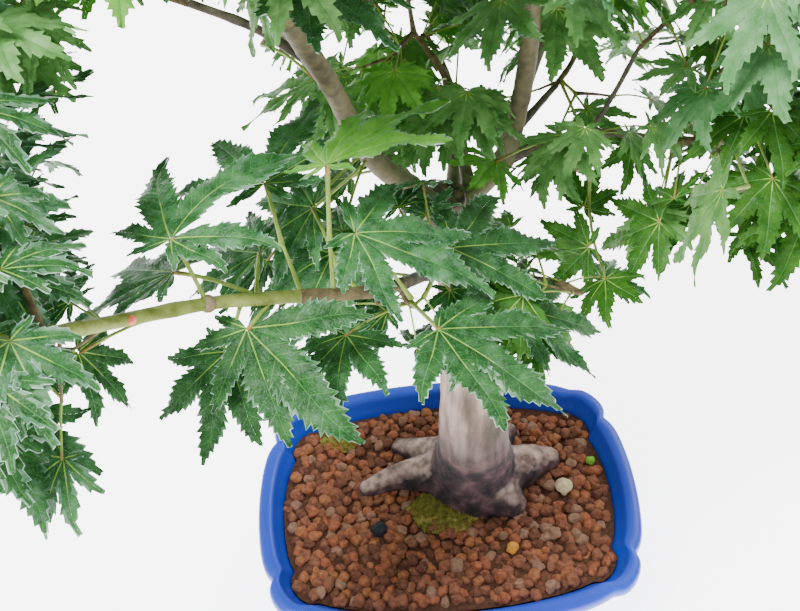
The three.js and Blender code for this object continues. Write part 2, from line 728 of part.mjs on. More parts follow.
// One leaf is sown in the mass's space. It grows from the nearest twig so far, on a new twig where
// that is too far for a petiole, and tries for a partner on the other side of its node
function sowLeaf(own, grown, limbs) {
  const { middle, half } = own.mass.space;
  const { draw } = own;
  const heart = new THREE.Vector3(
    middle[0] + half[0] * HEART_SHARE * (2 * draw() - 1),
    middle[1] + half[1] * HEART_SHARE * (2 * draw() - 1),
    middle[2] + half[2] * (2 * draw() - 1),
  );
  const petiole = between(PETIOLE_LENGTH, draw());
  const foot = own.nodes.reduce((best, node) => (node.distanceTo(heart) < best.distanceTo(heart) ? node : best));
  const span = heart.clone().sub(foot);
  const distance = span.length();
  if (distance > TWIG_REACH || distance < PETIOLE_LENGTH[0]) {
    return;
  }
  const twigged = distance > PETIOLE_LENGTH[1];
  const root = twigged ? foot.clone().addScaledVector(span, 1 - petiole / distance) : foot;
  if (twigged && !fits(lineSamples([foot, root]).slice(1), own, grown, limbs)) {
    return;
  }
  const heading = headingOf(span);
  const seat = twigged ? span.clone().setLength(-SEAT_DEPTH) : null;
  if (!tryLeaf(own, grown, limbs, root, heart, heading, seat)) {
    return;
  }
  if (twigged) {
    addTwig(own, [foot, root], TWIG_RADII);
  }
  for (let attempt = 0; attempt < PARTNER_TRIES; attempt += 1) {
    const side = attempt % 2 === 0 ? 1 : -1;
    const turn = heading + side * between(PARTNER_TURN, draw());
    const rise = degrees(between(PARTNER_RISE, draw()));
    const reach = new THREE.Vector3(Math.cos(degrees(turn)), Math.sin(degrees(turn)), Math.tan(rise)).normalize();
    const partner = root.clone().addScaledVector(reach, petiole);
    if (tryLeaf(own, grown, limbs, root, partner, turn, seat)) {
      break;
    }
  }
}

// The nearest point of the mass's stem, a little past its foot, where a leaf placed by hand gets
// its side twig
function nearestOnStem(mass, point) {
  const curve = new THREE.CatmullRomCurve3(mass.stem.map(vector), false, "catmullrom");
  const stations = 40;
  const first = Math.round(stations * STEM_BARE_SHARE);
  let best = curve.getPoint(first / stations);
  for (let i = first + 1; i <= stations; i += 1) {
    const station = curve.getPoint(i / stations);
    if (station.distanceTo(point) < best.distanceTo(point)) {
      best = station;
    }
  }
  return best;
}

function growAll() {
  const limbs = limbSamples();
  const grown = MASSES.map((mass) => {
    const draw = seededDraws(mass.seed);
    const own = { mass, draw, twigs: [], leaves: [], nodes: [], samples: [], blades: [] };
    addStem(own);
    for (const leaf of mass.leaves) {
      const from = vector(leaf.from);
      const foot = nearestOnStem(mass, from);
      if (foot.distanceTo(from) > TWIG_RADII[0]) {
        addTwig(own, [foot, from], TWIG_RADII);
      }
      addLeaf(own, leaf);
    }
    return own;
  });
  for (let round = 0; round < SOWING_ROUNDS; round += 1) {
    for (const own of grown) {
      if (own.leaves.length < LEAVES_PER_MASS) {
        sowLeaf(own, grown, limbs);
      }
    }
  }
  return grown;
}

// Foliage: the solids

// A thin star: a pole above and below the heart, and the lobes' tips and notches round its rim
function leafSolid(leaf) {
  const frame = leafFrame(leaf);
  const lobes = leaf.lobes ? leafLobes(leaf) : leafLobes(leaf).slice(1, -1);
  const rim = [leafPoint(leaf, frame, 180, BACK_SHARE * leaf.size)];
  lobes.forEach(([angle, reach], i) => {
    rim.push(leafPoint(leaf, frame, angle, reach));
    if (i < lobes.length - 1) {
      rim.push(leafPoint(leaf, frame, (angle + lobes[i + 1][0]) / 2, SINUS_SHARE * leaf.size));
    }
  });
  const geometry = new THREE.SphereGeometry(1, rim.length, 2);
  const position = geometry.attributes.position;
  const perRow = rim.length + 1;
  for (let i = 0; i < position.count; i += 1) {
    const row = Math.floor(i / perRow);
    const side = (1 - row) * LEAF_THICKNESS / 2;
    const spot = row === 1 ? rim[(i % perRow) % rim.length] : vector(leaf.heart).addScaledVector(frame.above, side);
    position.setXYZ(i, spot.x, spot.y, spot.z);
  }
  const solid = toSolid(geometry);
  return solid.volume() > 0 ? solid : toSolid(flipped(geometry));
}

// The petiole starts inside its twig, a little short of the twig's end, and ends in the blade
// behind the heart
function petioleSolid(leaf) {
  const from = vector(leaf.from);
  if (leaf.seat) {
    from.add(leaf.seat);
  }
  const heart = vector(leaf.heart).addScaledVector(leafFrame(leaf).forward, -SEAT_DEPTH);
  return limbSolid([from.toArray(), heart.toArray()], PETIOLE_RADII, TWIG_SIDES, 1);
}

function massSolid(own, cutters) {
  const pieces = own.twigs.map((twig, i) => {
    const sides = i === 0 ? STEM_SIDES : TWIG_SIDES;
    const steps = i === 0 ? 2 * (twig.points.length - 1) : 1;
    return limbSolid(twig.points.map((point) => point.toArray()), twig.radii, sides, steps);
  });
  for (const leaf of own.leaves) {
    pieces.push(petioleSolid(leaf), leafSolid(leaf));
  }
  const whole = cutters.reduce((solid, cutter) => solid.subtract(cutter), joined(pieces));
  return mainBody(whole);
}

// Assembly

const plant = new THREE.Group();
const material = (colour, roughness) => new THREE.MeshStandardMaterial({ color: colour, roughness, metalness: 0 });
const finishes = {
  pot: material(COLOURS.pot, 0.22),
  soil: material(COLOURS.soil, 0.95),
  moss: material(COLOURS.moss, 0.95),
  trunk: material(COLOURS.trunk, 0.85),
  bough: material(COLOURS.bough, 0.8),
  foliage: material(COLOURS.foliage, 0.5),
};

function place(name, solid, anchor, finish) {
  const mesh = new THREE.Mesh(toGeometry(solid, anchor), finish);
  mesh.name = name;
  mesh.position.copy(anchor);
  plant.add(mesh);
}

const potMiddle = new THREE.Vector3();
place("pot", makePot(), potMiddle, finishes.pot);
place("soil", makeSoil(), potMiddle, finishes.soil);

const trunkCut = makeTrunk(GAP);
place("trunk", makeTrunk(), new THREE.Vector3(TRUNK.points[0][0], TRUNK.points[0][1], SOIL_TOP + GAP), finishes.trunk);
for (const mound of MOSS_MOUNDS) {
  place(mound.name, makeMoss(mound, trunkCut), new THREE.Vector3(...mound.at, SOIL_TOP + GAP), finishes.moss);
}

const limbCuts = [trunkCut];
for (const bough of BOUGHS) {
  const solid = mainBody(limbCuts.reduce((left, cutter) => left.subtract(cutter), makeBough(bough)));
  place(bough.name, solid, vector(bough.points[0]), finishes.bough);
  limbCuts.push(makeBough(bough, GAP));
}

const stemCuts = [];
for (const own of growAll()) {
  const solid = massSolid(own, [...limbCuts, ...stemCuts]);
  place(own.mass.name, solid, vector(own.mass.stem[0]), finishes.foliage);
  const [stem] = own.twigs;
  stemCuts.push(limbSolid(own.mass.stem, stem.radii, STEM_SIDES, 2 * (own.mass.stem.length - 1), GAP));
}

plant.updateMatrixWorld(true);
const bounds = new THREE.Box3().setFromObject(plant, true);
plant.position.set(-(bounds.min.x + bounds.max.x) / 2, -(bounds.min.y + bounds.max.y) / 2, -bounds.min.z);

const group = new THREE.Group();
group.add(plant);

export default group;
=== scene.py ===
"""The looks of the potted maple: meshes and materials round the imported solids.

Places on the plant are millimetres from the middle of the pot on the ground, as in the solids'
source. They become metres in the frame when a mesh is made.
"""
import math
import random

import bmesh
import bpy
import numpy as np
from mathutils import Matrix, Vector, noise


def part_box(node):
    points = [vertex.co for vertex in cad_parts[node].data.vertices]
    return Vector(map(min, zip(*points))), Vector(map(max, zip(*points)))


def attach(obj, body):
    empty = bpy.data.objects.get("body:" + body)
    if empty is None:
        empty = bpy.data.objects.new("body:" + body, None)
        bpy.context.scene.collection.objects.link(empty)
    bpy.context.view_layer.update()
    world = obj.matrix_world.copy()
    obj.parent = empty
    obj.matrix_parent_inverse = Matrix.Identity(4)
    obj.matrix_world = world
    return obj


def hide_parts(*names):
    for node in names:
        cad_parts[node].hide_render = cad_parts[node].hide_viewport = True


MM = 0.001
TAU = 2 * math.pi
STEEP = 0.8

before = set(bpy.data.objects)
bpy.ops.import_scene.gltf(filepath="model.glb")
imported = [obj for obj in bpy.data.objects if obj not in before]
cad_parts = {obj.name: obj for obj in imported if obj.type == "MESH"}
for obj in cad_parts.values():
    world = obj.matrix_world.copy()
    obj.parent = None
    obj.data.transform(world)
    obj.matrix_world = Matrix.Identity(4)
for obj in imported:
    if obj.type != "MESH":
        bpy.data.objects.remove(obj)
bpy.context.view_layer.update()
POT_LOW, POT_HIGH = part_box("pot")
SHIFT = np.array([(POT_LOW.x + POT_HIGH.x) / 2, (POT_LOW.y + POT_HIGH.y) / 2, 0.0]) / MM

# Pot, as in the solids
POT_HALF_LENGTH = 100
POT_HALF_WIDTH = 75
END_BOW = 5
SIDE_BOW = 9
NOTCH_DEPTH = 3.8
NOTCH_SHARPNESS = 10
CORNER_LENGTH = 23
CORNER_WIDTH = 33
CORNER_BULGE = 6.5
CORNER_TAPER = 0.35
FOOT_HEIGHT = 7
FOOT_LENGTH = 34
FOOT_WIDTH = 20
FOOT_AT = [52, 36]
OUTLINE_POINTS = 22
OUTLINE_CROWDING = 1.6
OUTLINE_SMOOTHING = 3
# From the middle of the underside over the lip and down the inside: inset, height, share of notch
POT_PROFILE = [
    (29, 7, 0.6), (27, 7.4, 0.7), (24.5, 9.2, 0.8), (20, 17, 0.9), (16, 26, 1), (12, 36, 1), (8.6, 46, 1),
    (5.7, 54.6, 1), (4.6, 55.2, 1), (1.9, 55.5, 1), (0.6, 56.2, 1), (0, 57.6, 1), (0, 60.6, 1),
    (0.3, 62.2, 1), (1, 63.4, 1), (2.2, 63.95, 1), (4.2, 64, 0.9), (6, 63.8, 0.7), (7.3, 63.2, 0.5),
    (8.1, 62, 0.4), (8.8, 60, 0.35), (10.4, 57, 0.35), (12, 54, 0.35), (13.5, 50, 0.35),
]
# A foot, from the ground up: share of its full width, and height
FOOT_PROFILE = [
    (0.8, 0), (0.86, 0.5), (0.88, 1.4), (0.99, FOOT_HEIGHT - 0.6), (0.985, FOOT_HEIGHT + 0.3),
    (0.95, FOOT_HEIGHT + 0.85), (0.88, FOOT_HEIGHT + 1),
]
FOOT_SIDES = 40

# Soil: worn grains in rows, and a few odd pebbles and a sprout among them
SOIL_TOP = 54
SOIL_EDGE = {"inset": 15, "notch": 0.35}
GRAIN_SPACING = 5.6
GRAIN_ROW_STEP = 0.82
GRAIN_RADIUS = [2.5, 3.7]
GRAIN_JITTER = 1.6
GRAIN_RISE = [-1.4, 1.6]
GRAIN_TINTS = [0, 0, 1, 1, 1, 2, 2, 3, 4]
GRAIN_LUMPS = {"height": 0.38, "scale": 1.3, "offset": 100}
GRAIN_STRETCH = [[0.8, 1.2], [0.8, 1.2], [0.65, 0.95]]
GRAIN_SEED = 12
PEBBLES = [
    {"at": (31, -31), "radius": 3.6, "tint": 5},
    {"at": (-37, -14), "radius": 3.8, "tint": 6},
    {"at": (63, 3), "radius": 4.2, "tint": 7},
    {"at": (80, 18), "radius": 3.0, "tint": 8},
]
PEBBLE_CLEARANCE = 1
PEBBLE_RISE = 2
BALL_SPLITS = 3
# The grains' and pebbles' tones from dark to light, in the order of their tints
GRAIN_TONES = {
    "clay_red": [(0.135, 0.042, 0.020), (0.29, 0.098, 0.046)],
    "clay_brown": [(0.105, 0.040, 0.021), (0.23, 0.086, 0.047)],
    "clay_dark": [(0.062, 0.024, 0.014), (0.15, 0.056, 0.031)],
    "clay_orange": [(0.17, 0.060, 0.025), (0.30, 0.115, 0.050)],
    "clay_tan": [(0.14, 0.072, 0.047), (0.26, 0.14, 0.09)],
    "pebble_yellow": [(0.5, 0.2, 0.02), (0.65, 0.3, 0.05)],
    "pebble_black": [(0.01, 0.011, 0.014), (0.025, 0.027, 0.034)],
    "pebble_cream": [(0.4, 0.3, 0.18), (0.58, 0.46, 0.3)],
    "sprout_green": [(0.12, 0.3, 0.02), (0.22, 0.45, 0.05)],
}

# Moss: mounds with their place and half sizes, and the short shoots on them
MOSS_MOUNDS = [
    {"name": "moss_front", "at": [-1, -6], "size": [21, 14, 6], "seed": 4},
    {"name": "moss_back", "at": [-56, 44], "size": [12, 8, 3], "seed": -51},
]
MOUND_RISE = 0.3
MOUND_SHARE = 0.93
MOUND_LUMPS = {"height": 0.25, "scale": 3}
MOUND_LOWEST = -0.2
MOSS_SHOOTS = 9
MOSS_SHOOT_LENGTH = [1.2, 2.6]
MOSS_SHOOT_WIDTH = [0.3, 0.5]
MOSS_SHOOT_LEAN = 0.5
MOSS_SHOOT_RISE = 1.4
MOSS_FLATTEST = 0.02
MOSS_ACROSS = [1, 0.3, 0]

# Trunk and its root flare, as in the solids: points on the centre line, then the radius at each
TRUNK = {
    "points": [
        [15, 14, 50], [15, 12, 70], [15, 8, 98], [14, 6, 130],
        [13.5, 5, 165], [12, 5, 200], [8, 5, 235], [2, 5, 266],
    ],
    "radii": [29, 22.5, 17.8, 16.2, 13.7, 11.6, 10.5, 9.6],
}
ROOTS = [
    {"points": [[10, 13, 70], [-8, 14, 64], [-26, 14, 60], [-46, 9, 57]], "radii": [15, 11, 7.5, 5.2]},
    {"points": [[10, 16, 68], [-6, 27, 61], [-26, 38, 55]], "radii": [15, 10, 6]},
    {"points": [[18, 12, 70], [34, 13, 63], [48, 18, 60], [62, 21, 57]], "radii": [16, 12.5, 10, 6]},
    {"points": [[16, 8, 68], [28, -2, 60], [38, -9, 53]], "radii": [17, 13, 8]},
    {"points": [[18, 18, 68], [30, 33, 60], [40, 44, 53]], "radii": [14, 10, 6]},
]
TRUNK_STATIONS = 90
TRUNK_SIDES = 40
ROOT_STATIONS = 30
ROOT_SIDES = 22
ROOT_END_TAPER = 0.25
# The skin over trunk and roots, and its relief in millimetres
SKIN_VOXEL = 1.3
SKIN_SOFTNESS = 0.5
SKIN_SMOOTHING = 5
TRUNK_LUMPS = {"height": 1.3, "scale": 0.045}
TRUNK_STREAKS = {"height": 0.55, "across": 0.42, "along": 0.07}
TRUNK_KNOBS = {"height": 1.1, "scale": 0.22}
TRUNK_GRAIN = {"height": 0.22, "scale": 0.6}
ROUGH_BARK = [205, 255]

# Boughs' bark: one station for each so many millimetres, swollen nodes, and low waves
BOUGH_STEP = 1.1
BOUGH_SIDES = 20
BOUGH_SEED = 150
FIRST_NODE = [0.1, 0.2]
NODE_EVERY = [17, 27]
NODE_SWELL = 0.08
NODE_LENGTH = 1.6
BOUGH_WAVE = {"height": 0.03, "radians": 19}
BARK_WAVES = [{"height": 0.035, "scale": 0.2}, {"height": 0.012, "scale": 1.4}]
PALE_BOUGHS = ["upper_left", "leader", "top_left"]
# Bark tones, each from dark to light: olive and brown bark, with the upper sides lighter as painted light
# and the undersides darker as painted shade
BOUGH_TONES = {
    "pale_shaded_under": [(0.058, 0.046, 0.018), (0.118, 0.096, 0.042)],
    "pale_lit_top": [(0.088, 0.094, 0.034), (0.165, 0.165, 0.076)],
    "dark_shaded_under": [(0.022, 0.016, 0.010), (0.085, 0.062, 0.040)],
    "dark_lit_top": [(0.040, 0.036, 0.018), (0.130, 0.115, 0.070)],
}


def bough(name, points, radii, drawn_share=1):
    """A bough, from inside the limb that carries it to where it enters its foliage. It is drawn
    with a share of the solid's radii."""
    return {"name": name, "points": points, "radii": radii, "drawn_share": drawn_share}


BOUGHS = [
    bough(
        "upper_left",
        [
            [2, 5, 254], [-9, 4, 271], [-21, 2, 286], [-28, -2, 305],
            [-34, -8, 328], [-39, -18, 348], [-43, -29, 366],
        ],
        [7, 5, 4.5, 4.2, 3.9, 3.7, 3.6], 0.9,
    ),
    bough(
        "leader",
        [[4, 6, 248], [15, 11, 261], [27, 17, 271], [33, 22, 290], [36, 22, 318], [36, 20, 344]],
        [7.5, 6, 5.2, 4.6, 4.2, 3.8], 0.78,
    ),
    bough(
        "front_left", [[4, 3, 226], [1, -14, 243], [-7, -34, 263], [-16, -58, 284]],
        [3.6, 2.6, 2.3, 2.1],
    ),
    bough("front_right", [[7, 3, 224], [20, -9, 235], [33, -24, 246]], [3.4, 2.6, 2.2]),
    bough(
        "right", [[28, 18, 272], [44, 21, 274], [62, 22, 277], [82, 16, 277]], [3.4, 2.7, 2.4, 2.1], 0.8,
    ),
    bough("right_high", [[61, 22, 277], [70, 26, 292], [78, 30, 308]], [1.9, 1.6, 1.5], 0.58),
    bough("middle", [[31, 20, 281], [42, 31, 285], [50, 40, 287]], [3, 2.3, 2], 0.6),
    bough("fork", [[14, 10, 260], [12, 22, 272], [12, 32, 284]], [3.4, 2.6, 2.2], 0.85),
    bough("back", [[5, 8, 236], [9, 30, 246], [12, 52, 256], [12, 66, 262]], [4.6, 3.6, 3.1, 2.7]),
    bough(
        "back_left", [[2, 8, 242], [-8, 20, 256], [-22, 34, 271], [-38, 50, 289], [-52, 58, 308]],
        [4.4, 3.8, 3.3, 3, 2.7],
    ),
    bough("back_right", [[33, 24, 292], [44, 42, 306], [54, 56, 322]], [3.6, 3, 2.6], 0.8),
    bough("top_left", [[36, 22, 326], [20, 20, 346], [4, 16, 366]], [3.4, 2.8, 2.4]),
    bough("left", [[-36, -11, 336], [-54, -10, 352], [-74, -8, 362]], [3.2, 2.7, 2.3], 0.55),
]

# Leaves: seven pointed lobes around the heart, at these angles and shares of the middle lobe
LOBE_ANGLES = [-122, -76, -38, 0, 38, 76, 122]
LOBE_SHARES = [0.34, 0.66, 0.9, 1, 0.9, 0.66, 0.34]
LEAF_ARCH = 0.13
TWIG_RADII = [1.15, 1.05]
SEAT_DEPTH = 1.2
STEM_STATIONS = 10
STEM_BARE_SHARE = 0.15
SEAT_CHOICES = 40


def leaf_at(heart, root, turn, dip, roll, size, **more):
    """A listed leaf: its heart, the root of its petiole, the compass angle, dip and roll of
    its middle lobe in degrees, and that lobe's length. Lobes are [angle, length] where they differ
    from the rule, and drawn holds what differs from the solid."""
    return {"heart": heart, "root": root, "turn": turn, "dip": dip, "roll": roll, "size": size, **more}


def mass(name, seed, stem, stem_radius, middle, half, leaves=(), added=(), tip_radius=1.0,
         green_from=1, **more):
    """A mass of foliage: the seed of its draws, the points of its stem from the bough's tip and the
    stem's radii, the middle and half sizes of its own room, its listed leaves, the
    leaves that are added after the solids' own, and the share of its stem from which it's green."""
    return {
        "name": name, "seed": seed, "stem": stem, "radii": [stem_radius, tip_radius],
        "middle": middle, "half": half, "leaves": leaves, "added": added,
        "green_from": green_from, **more,
    }


MASSES = [
    mass(
        "front_left", 11,
        [
            [-16, -58, 284], [-29, -69, 293], [-52, -78, 303],
            [-73, -83, 308], [-97, -108, 329], [-112, -128, 347],
        ],
        2.2, [-88, -84, 328], [88, 86, 60],
        tip_radius=2,
        green_from=0.34,
        knobs=[
            dict(at=[-73, -83, 308], radius=2.75, pink=False),
            dict(at=[-89.3, -101.3, 323], radius=1.4, pink=True),
        ],
        leaves=[
            leaf_at(
                [-80, -76, 328], [-73, -83, 308], 47, -9, -9, 43, sinus=0.2, lobe_width=0.125,
                lobes=[[-128, 13], [-91, 24], [-66, 34], [-15, 47], [54, 47], [106, 24], [138, 14]],
                drawn=dict(
                    lobes=[[-128, 13], [-91, 24], [-66, 34], [-8, 56], [54, 47], [106, 24], [138, 14]],
                    bows={2: 0.05, 3: 0.14, 4: 0.05},
                ),
            ),
            leaf_at(
                [-63, -85, 298], [-52, -76, 303], -81, 21, 16, 40,
                lobes=[[-127, 12], [-88, 18], [-34, 25], [10, 36], [38, 46], [84, 37], [124, 15]],
                drawn=dict(
                    lobes=[[-127, 12], [-88, 18], [-36, 27], [8, 38], [32, 49], [80, 38], [124, 15]],
                    tone="deep",
                ),
            ),
            leaf_at(
                [-35, -57, 335], [-37, -62, 308], 80, 7, -17, 45, young=True,
                lobes=[[-122, 14], [-76, 33], [-36, 40], [2, 50], [36, 34], [76, 28], [122, 14]],
                drawn=dict(
                    lobes=[[-122, 11], [-84, 37], [-46, 46], [-6, 40], [34, 24], [78, 15], [122, 9]],
                    lobe_width=0.12, bows={1: 0.1, 2: 0.06},
                ),
            ),
            leaf_at(
                [-56, -44, 319], [-52, -58, 306], 78, -6, -12, 40,
                lobes=[[-122, 12], [-90, 20], [-50, 35], [-8, 45], [46, 38], [84, 36], [126, 14]],
            ),
            leaf_at([-84, -70, 309], [-76, -82, 307], 140, 24, -2, 42, stalk_from=[-58, -79, 304.5]),
            leaf_at(
                [-71, -84, 287], [-64, -80, 304], -109, 12, 12, 42,
                drawn=dict(turn=-112, dip=30, roll=10, size=35, tone="deep"),
            ),
            leaf_at([-60, -54, 299], [-60, -74, 301], 141, 22, -14, 34),
            leaf_at([-43, -34, 299], [-36, -58, 294], -176, 30, -12, 34),
            leaf_at(
                [-108, -98, 306], [-95, -104, 325], -36, 40, -12, 38, stalk_from=[-74, -84, 307.5],
                drawn=dict(heart=[-109, -97, 307], turn=-24, dip=53, roll=-12, size=24),
            ),
            leaf_at([-122, -122, 312], [-108, -120, 338], -70, 22, 0, 32),
            leaf_at([-118, -106, 340], [-103, -114, 334], 168, 18, 0, 40),
        ],
    ),
    mass(
        "front", 23, [[-16, -57, 284], [-15, -60, 280], [-13, -62, 277]], 1.6, [-8, -66, 286],
        [66, 60, 48],
        leaves=[
            leaf_at(
                [-6, -85, 291], [-13, -62, 279], -30, 4, -9, 43,
                lobes=[[-112, 13], [-74, 29], [-36, 40], [-9, 46], [38, 44], [77, 30], [111, 11]],
            ),
            leaf_at(
                [-29, -62, 312], [-13, -61, 280], -21, 17, -3, 43,
                lobes=[[-122, 12], [-78, 24], [-44, 33], [5, 47], [36, 41], [83, 32], [120, 16]],
            ),
            leaf_at(
                [-31, -68, 281], [-14, -60, 277], -98, -10, 2, 34,
                drawn=dict(heart=[-35, -72, 277], turn=-103, dip=4, roll=17, size=31),
            ),
            leaf_at([-38, -45, 288], [-13, -60, 279], -128, 34, -8, 34),
            leaf_at([1, -47, 288], [-9, -58, 277], 17, 13, 11, 42),
        ],
    ),
    mass(
        "front_right", 31, [[33, -24, 246], [42, -34, 253], [48, -42, 256]], 1.8, [46, -34, 256],
        [54, 52, 38],
        leaves=[
            leaf_at([22, -56, 265], [38, -32, 251], 10, 26, 5, 40),
            leaf_at(
                [61, -20, 243], [44, -34, 253], -104, 8, 6, 34, stalk_from=[62, -17, 243],
                drawn=dict(heart=[62, -22, 241], turn=-100, dip=-3, roll=27, size=23, tone="bottle"),
            ),
        ],
    ),
    mass(
        "right", 47, [[82, 16, 277], [98, 10, 279], [116, 6, 282], [132, 6, 286]], 2.1,
        [108, -2, 280], [70, 76, 52],
        leaves=[
            leaf_at(
                [79, -16, 264], [90, 9, 276], -130, 34, -8, 36,
                drawn=dict(heart=[81, -17, 264], turn=150, dip=44, roll=-38, size=33, tone="bottle"),
            ),
            leaf_at(
                [85, -16, 274], [93, 8, 281], 30, 10, -6, 34,
                drawn=dict(turn=68, dip=-2, roll=-35, size=19, tone="bottle"),
            ),
            leaf_at(
                [77, 12, 268], [86, 20, 274], -110, 12, -6, 31,
                drawn=dict(heart=[77, 18, 273], turn=-105, dip=22, roll=-41, size=21, tone="bottle"),
            ),
            leaf_at([82, -62, 318], [95, -50, 308], 168, 66, -2, 33),
        ],
    ),
    mass(
        "middle", 53, [[50, 40, 287], [58, 52, 288], [64, 64, 290]], 1.2, [54, 40, 284], [62, 62, 40],
        shoot=[[62, 22, 275], [61, 14, 262], [60, 5, 253], [60, -8, 247], [62, -20, 242]],
        added=[
            leaf_at([58, 7, 252], [61, 11, 258], 62, -20, 22, 21, tone="bottle", lobe_width=0.15),
            leaf_at([58, -9, 246], [60, -5, 248], 172, 14, -38, 25, tone="bottle", lobe_width=0.16),
        ],
        leaves=[
            leaf_at(
                [47, 16, 277], [57, 33, 288], -112, 8, -5, 33,
                drawn=dict(heart=[45, 15, 276], turn=-74, dip=14, roll=43, size=25),
            ),
            leaf_at(
                [24, 8, 278], [58, 18, 279], 170, 26, -20, 34, young=True,
                drawn=dict(heart=[23, 8, 278], turn=-120, dip=-16, roll=-22, size=24),
            ),
            leaf_at([62, 36, 278], [54, 44, 286], -48, 10, 5, 31, drawn=dict(size=23)),
        ],
    ),
    mass(
        "fork", 59, [[12, 32, 284], [6, 40, 298], [-4, 46, 312]], 1.9, [-4, 46, 306], [66, 66, 50],
        # Leaves low inside the crown; the deep and bottle tones on them are partly painted shade
        added=[
            leaf_at([-51, -9, 272], [-24, 0, 290], 205, 22, 8, 30, tone="leafy"),
            leaf_at([-32, 11, 273], [-18, 3, 281], 150, 24, -6, 34, tone="bottle"),
            leaf_at([-33, -20, 283], [-25, -1, 292], 245, 26, 4, 27, tone="bottle"),
            leaf_at([2, -29, 249], [-3, -25, 253], -64, 24, -8, 23, tone="deep"),
            leaf_at([-62, -32, 274], [-25, 0, 294], 214, 18, 12, 25, tone="deep"),
            leaf_at([-45, -32, 272], [-12, -45, 274], 168, 30, -10, 26, tone="deep"),
        ],
        leaves=[
            leaf_at(
                [15, 22, 294], [11, 34, 288], 0, 26, 16, 33,
                drawn=dict(turn=-21, dip=22, roll=0, size=26),
            ),
        ],
    ),
    mass(
        "right_high", 61, [[78, 30, 308], [88, 27, 322], [100, 20, 334], [110, 14, 342]], 0.9,
        [96, 18, 334], [70, 72, 50],
        leaves=[
            leaf_at(
                [77, 26, 314], [79, 30, 310], -156, 4, 20, 34,
                drawn=dict(heart=[77, 28, 316], turn=120, dip=48, roll=11, size=26),
            ),
            leaf_at(
                [92, 15, 312], [87, 27, 320], -118, 12, -10, 32,
                drawn=dict(heart=[92, 13, 310], turn=-172, dip=-2, roll=0, size=21),
            ),
        ],
    ),
    mass("back", 71, [[12, 66, 262], [10, 82, 270], [4, 100, 276]], 2.4, [6, 94, 282], [80, 66, 52]),
    mass(
        "back_left", 83, [[-52, 58, 308], [-66, 64, 328], [-82, 66, 346]], 2.4, [-72, 56, 346],
        [76, 70, 58],
        leaves=[
            leaf_at([-40, 14, 316], [-60, 36, 318], 149, 24, -2, 36),
        ],
    ),
    mass(
        "back_right", 97, [[54, 56, 322], [66, 68, 334], [78, 82, 342]], 2.3, [70, 72, 340], [72, 66, 52],
        leaves=[
            leaf_at([47, 32, 326], [56, 50, 326], -60, 24, 10, 31),
        ],
    ),
    mass(
        "upper_left", 101, [[-43, -29, 366], [-47, -38, 382], [-46, -42, 400]], 2.6, [-44, -36, 392],
        [66, 62, 46],
        leaves=[
            leaf_at([-37, -32, 381], [-46, -36, 378], -43, 8, -10, 36),
            leaf_at([-49, -20, 378], [-46, -34, 374], -147, 66, 9, 27),
        ],
    ),
    mass(
        "left", 113, [[-74, -8, 362], [-94, -8, 370], [-114, -12, 374]], 1.3, [-108, -10, 374],
        [70, 72, 48],
        leaves=[
            leaf_at([-83, -35, 405], [-90, -20, 388], -83, 17, 0, 36),
        ],
    ),
    mass(
        "top_left", 127, [[4, 16, 366], [-6, 16, 384], [-12, 18, 402]], 2.3, [-14, 22, 398],
        [72, 70, 50],
    ),
    mass(
        "top", 131, [[36, 20, 344], [40, 22, 368], [40, 24, 394]], 3, [44, 22, 390], [74, 70, 60],
        leaves=[
            leaf_at(
                [24, 12, 346], [34, 14, 352], -98, 14, -14, 36,
                drawn=dict(heart=[24, 10, 344], turn=-107, dip=8, roll=19, size=30),
            ),
        ],
    ),
]

# The growing rule, the same as the solids'
PETIOLE_LENGTH = [15, 27]
LEAF_DIP = [2, 40]
LEAF_ROLL = 18
HEADING_SPREAD = 70
HEART_SHARE = 0.8
TWIG_REACH = 62
PARTNER_TURN = [95, 165]
PARTNER_RISE = [10, 50]
PARTNER_TRIES = 6
LOBE_SAMPLES = 4
TWIG_SAMPLE_STEP = 8
SAMPLES_PER_SPAN = 6
MOST_SAMPLES = 60000
DRAW_SEED = [7919, 13]
DRAW_FACTOR = 16807
DRAW_RANGE = 2147483647

# The view from above and in front that the crown was laid out in: the eye's place, how far it
# looks down, its lean, and its picture's focal length, middle and width in pixels. Leaves of the
# rule stay out of the windows of open sky, each [left, top, right, bottom] in that picture
VIEW = {
    "eye": [-17, -285, 519], "down": 47.2, "lean": -4.4, "focal": 1000, "middle": [400, 305.5],
    "width": 800,
}
SKY_WINDOWS = [
    [94, 0, 234, 135], [94, 130, 140, 215], [94, 215, 112, 280], [132, 330, 172, 611],
    [113, 440, 262, 611], [262, 445, 705, 611], [353, 388, 406, 611], [590, 332, 705, 611],
    [570, 386, 705, 611], [642, 292, 705, 340], [526, 54, 590, 118], [458, 47, 486, 90],
    [400, 0, 422, 36], [310, 38, 348, 62], [238, 64, 266, 122], [602, 158, 617, 208],
    [513, 197, 555, 214], [548, 215, 584, 244],
]
# Where the listed leaves fill the view, the rule's leaves stay behind them
FRONT_WINDOW = [165, 120, 590, 445]
FRONT_DISTANCE = 336
# Leaves of the rule nearer to the eye than the last number aren't drawn in these windows
NEAR_WINDOWS = [[320, -90, 480, 60, 382], [590, -60, 760, 330, 372], [562, 245, 596, 282, 420]]
# Nor do they reach into this one, round a bare twig
TWIG_WINDOW = [598, 64, 632, 114]

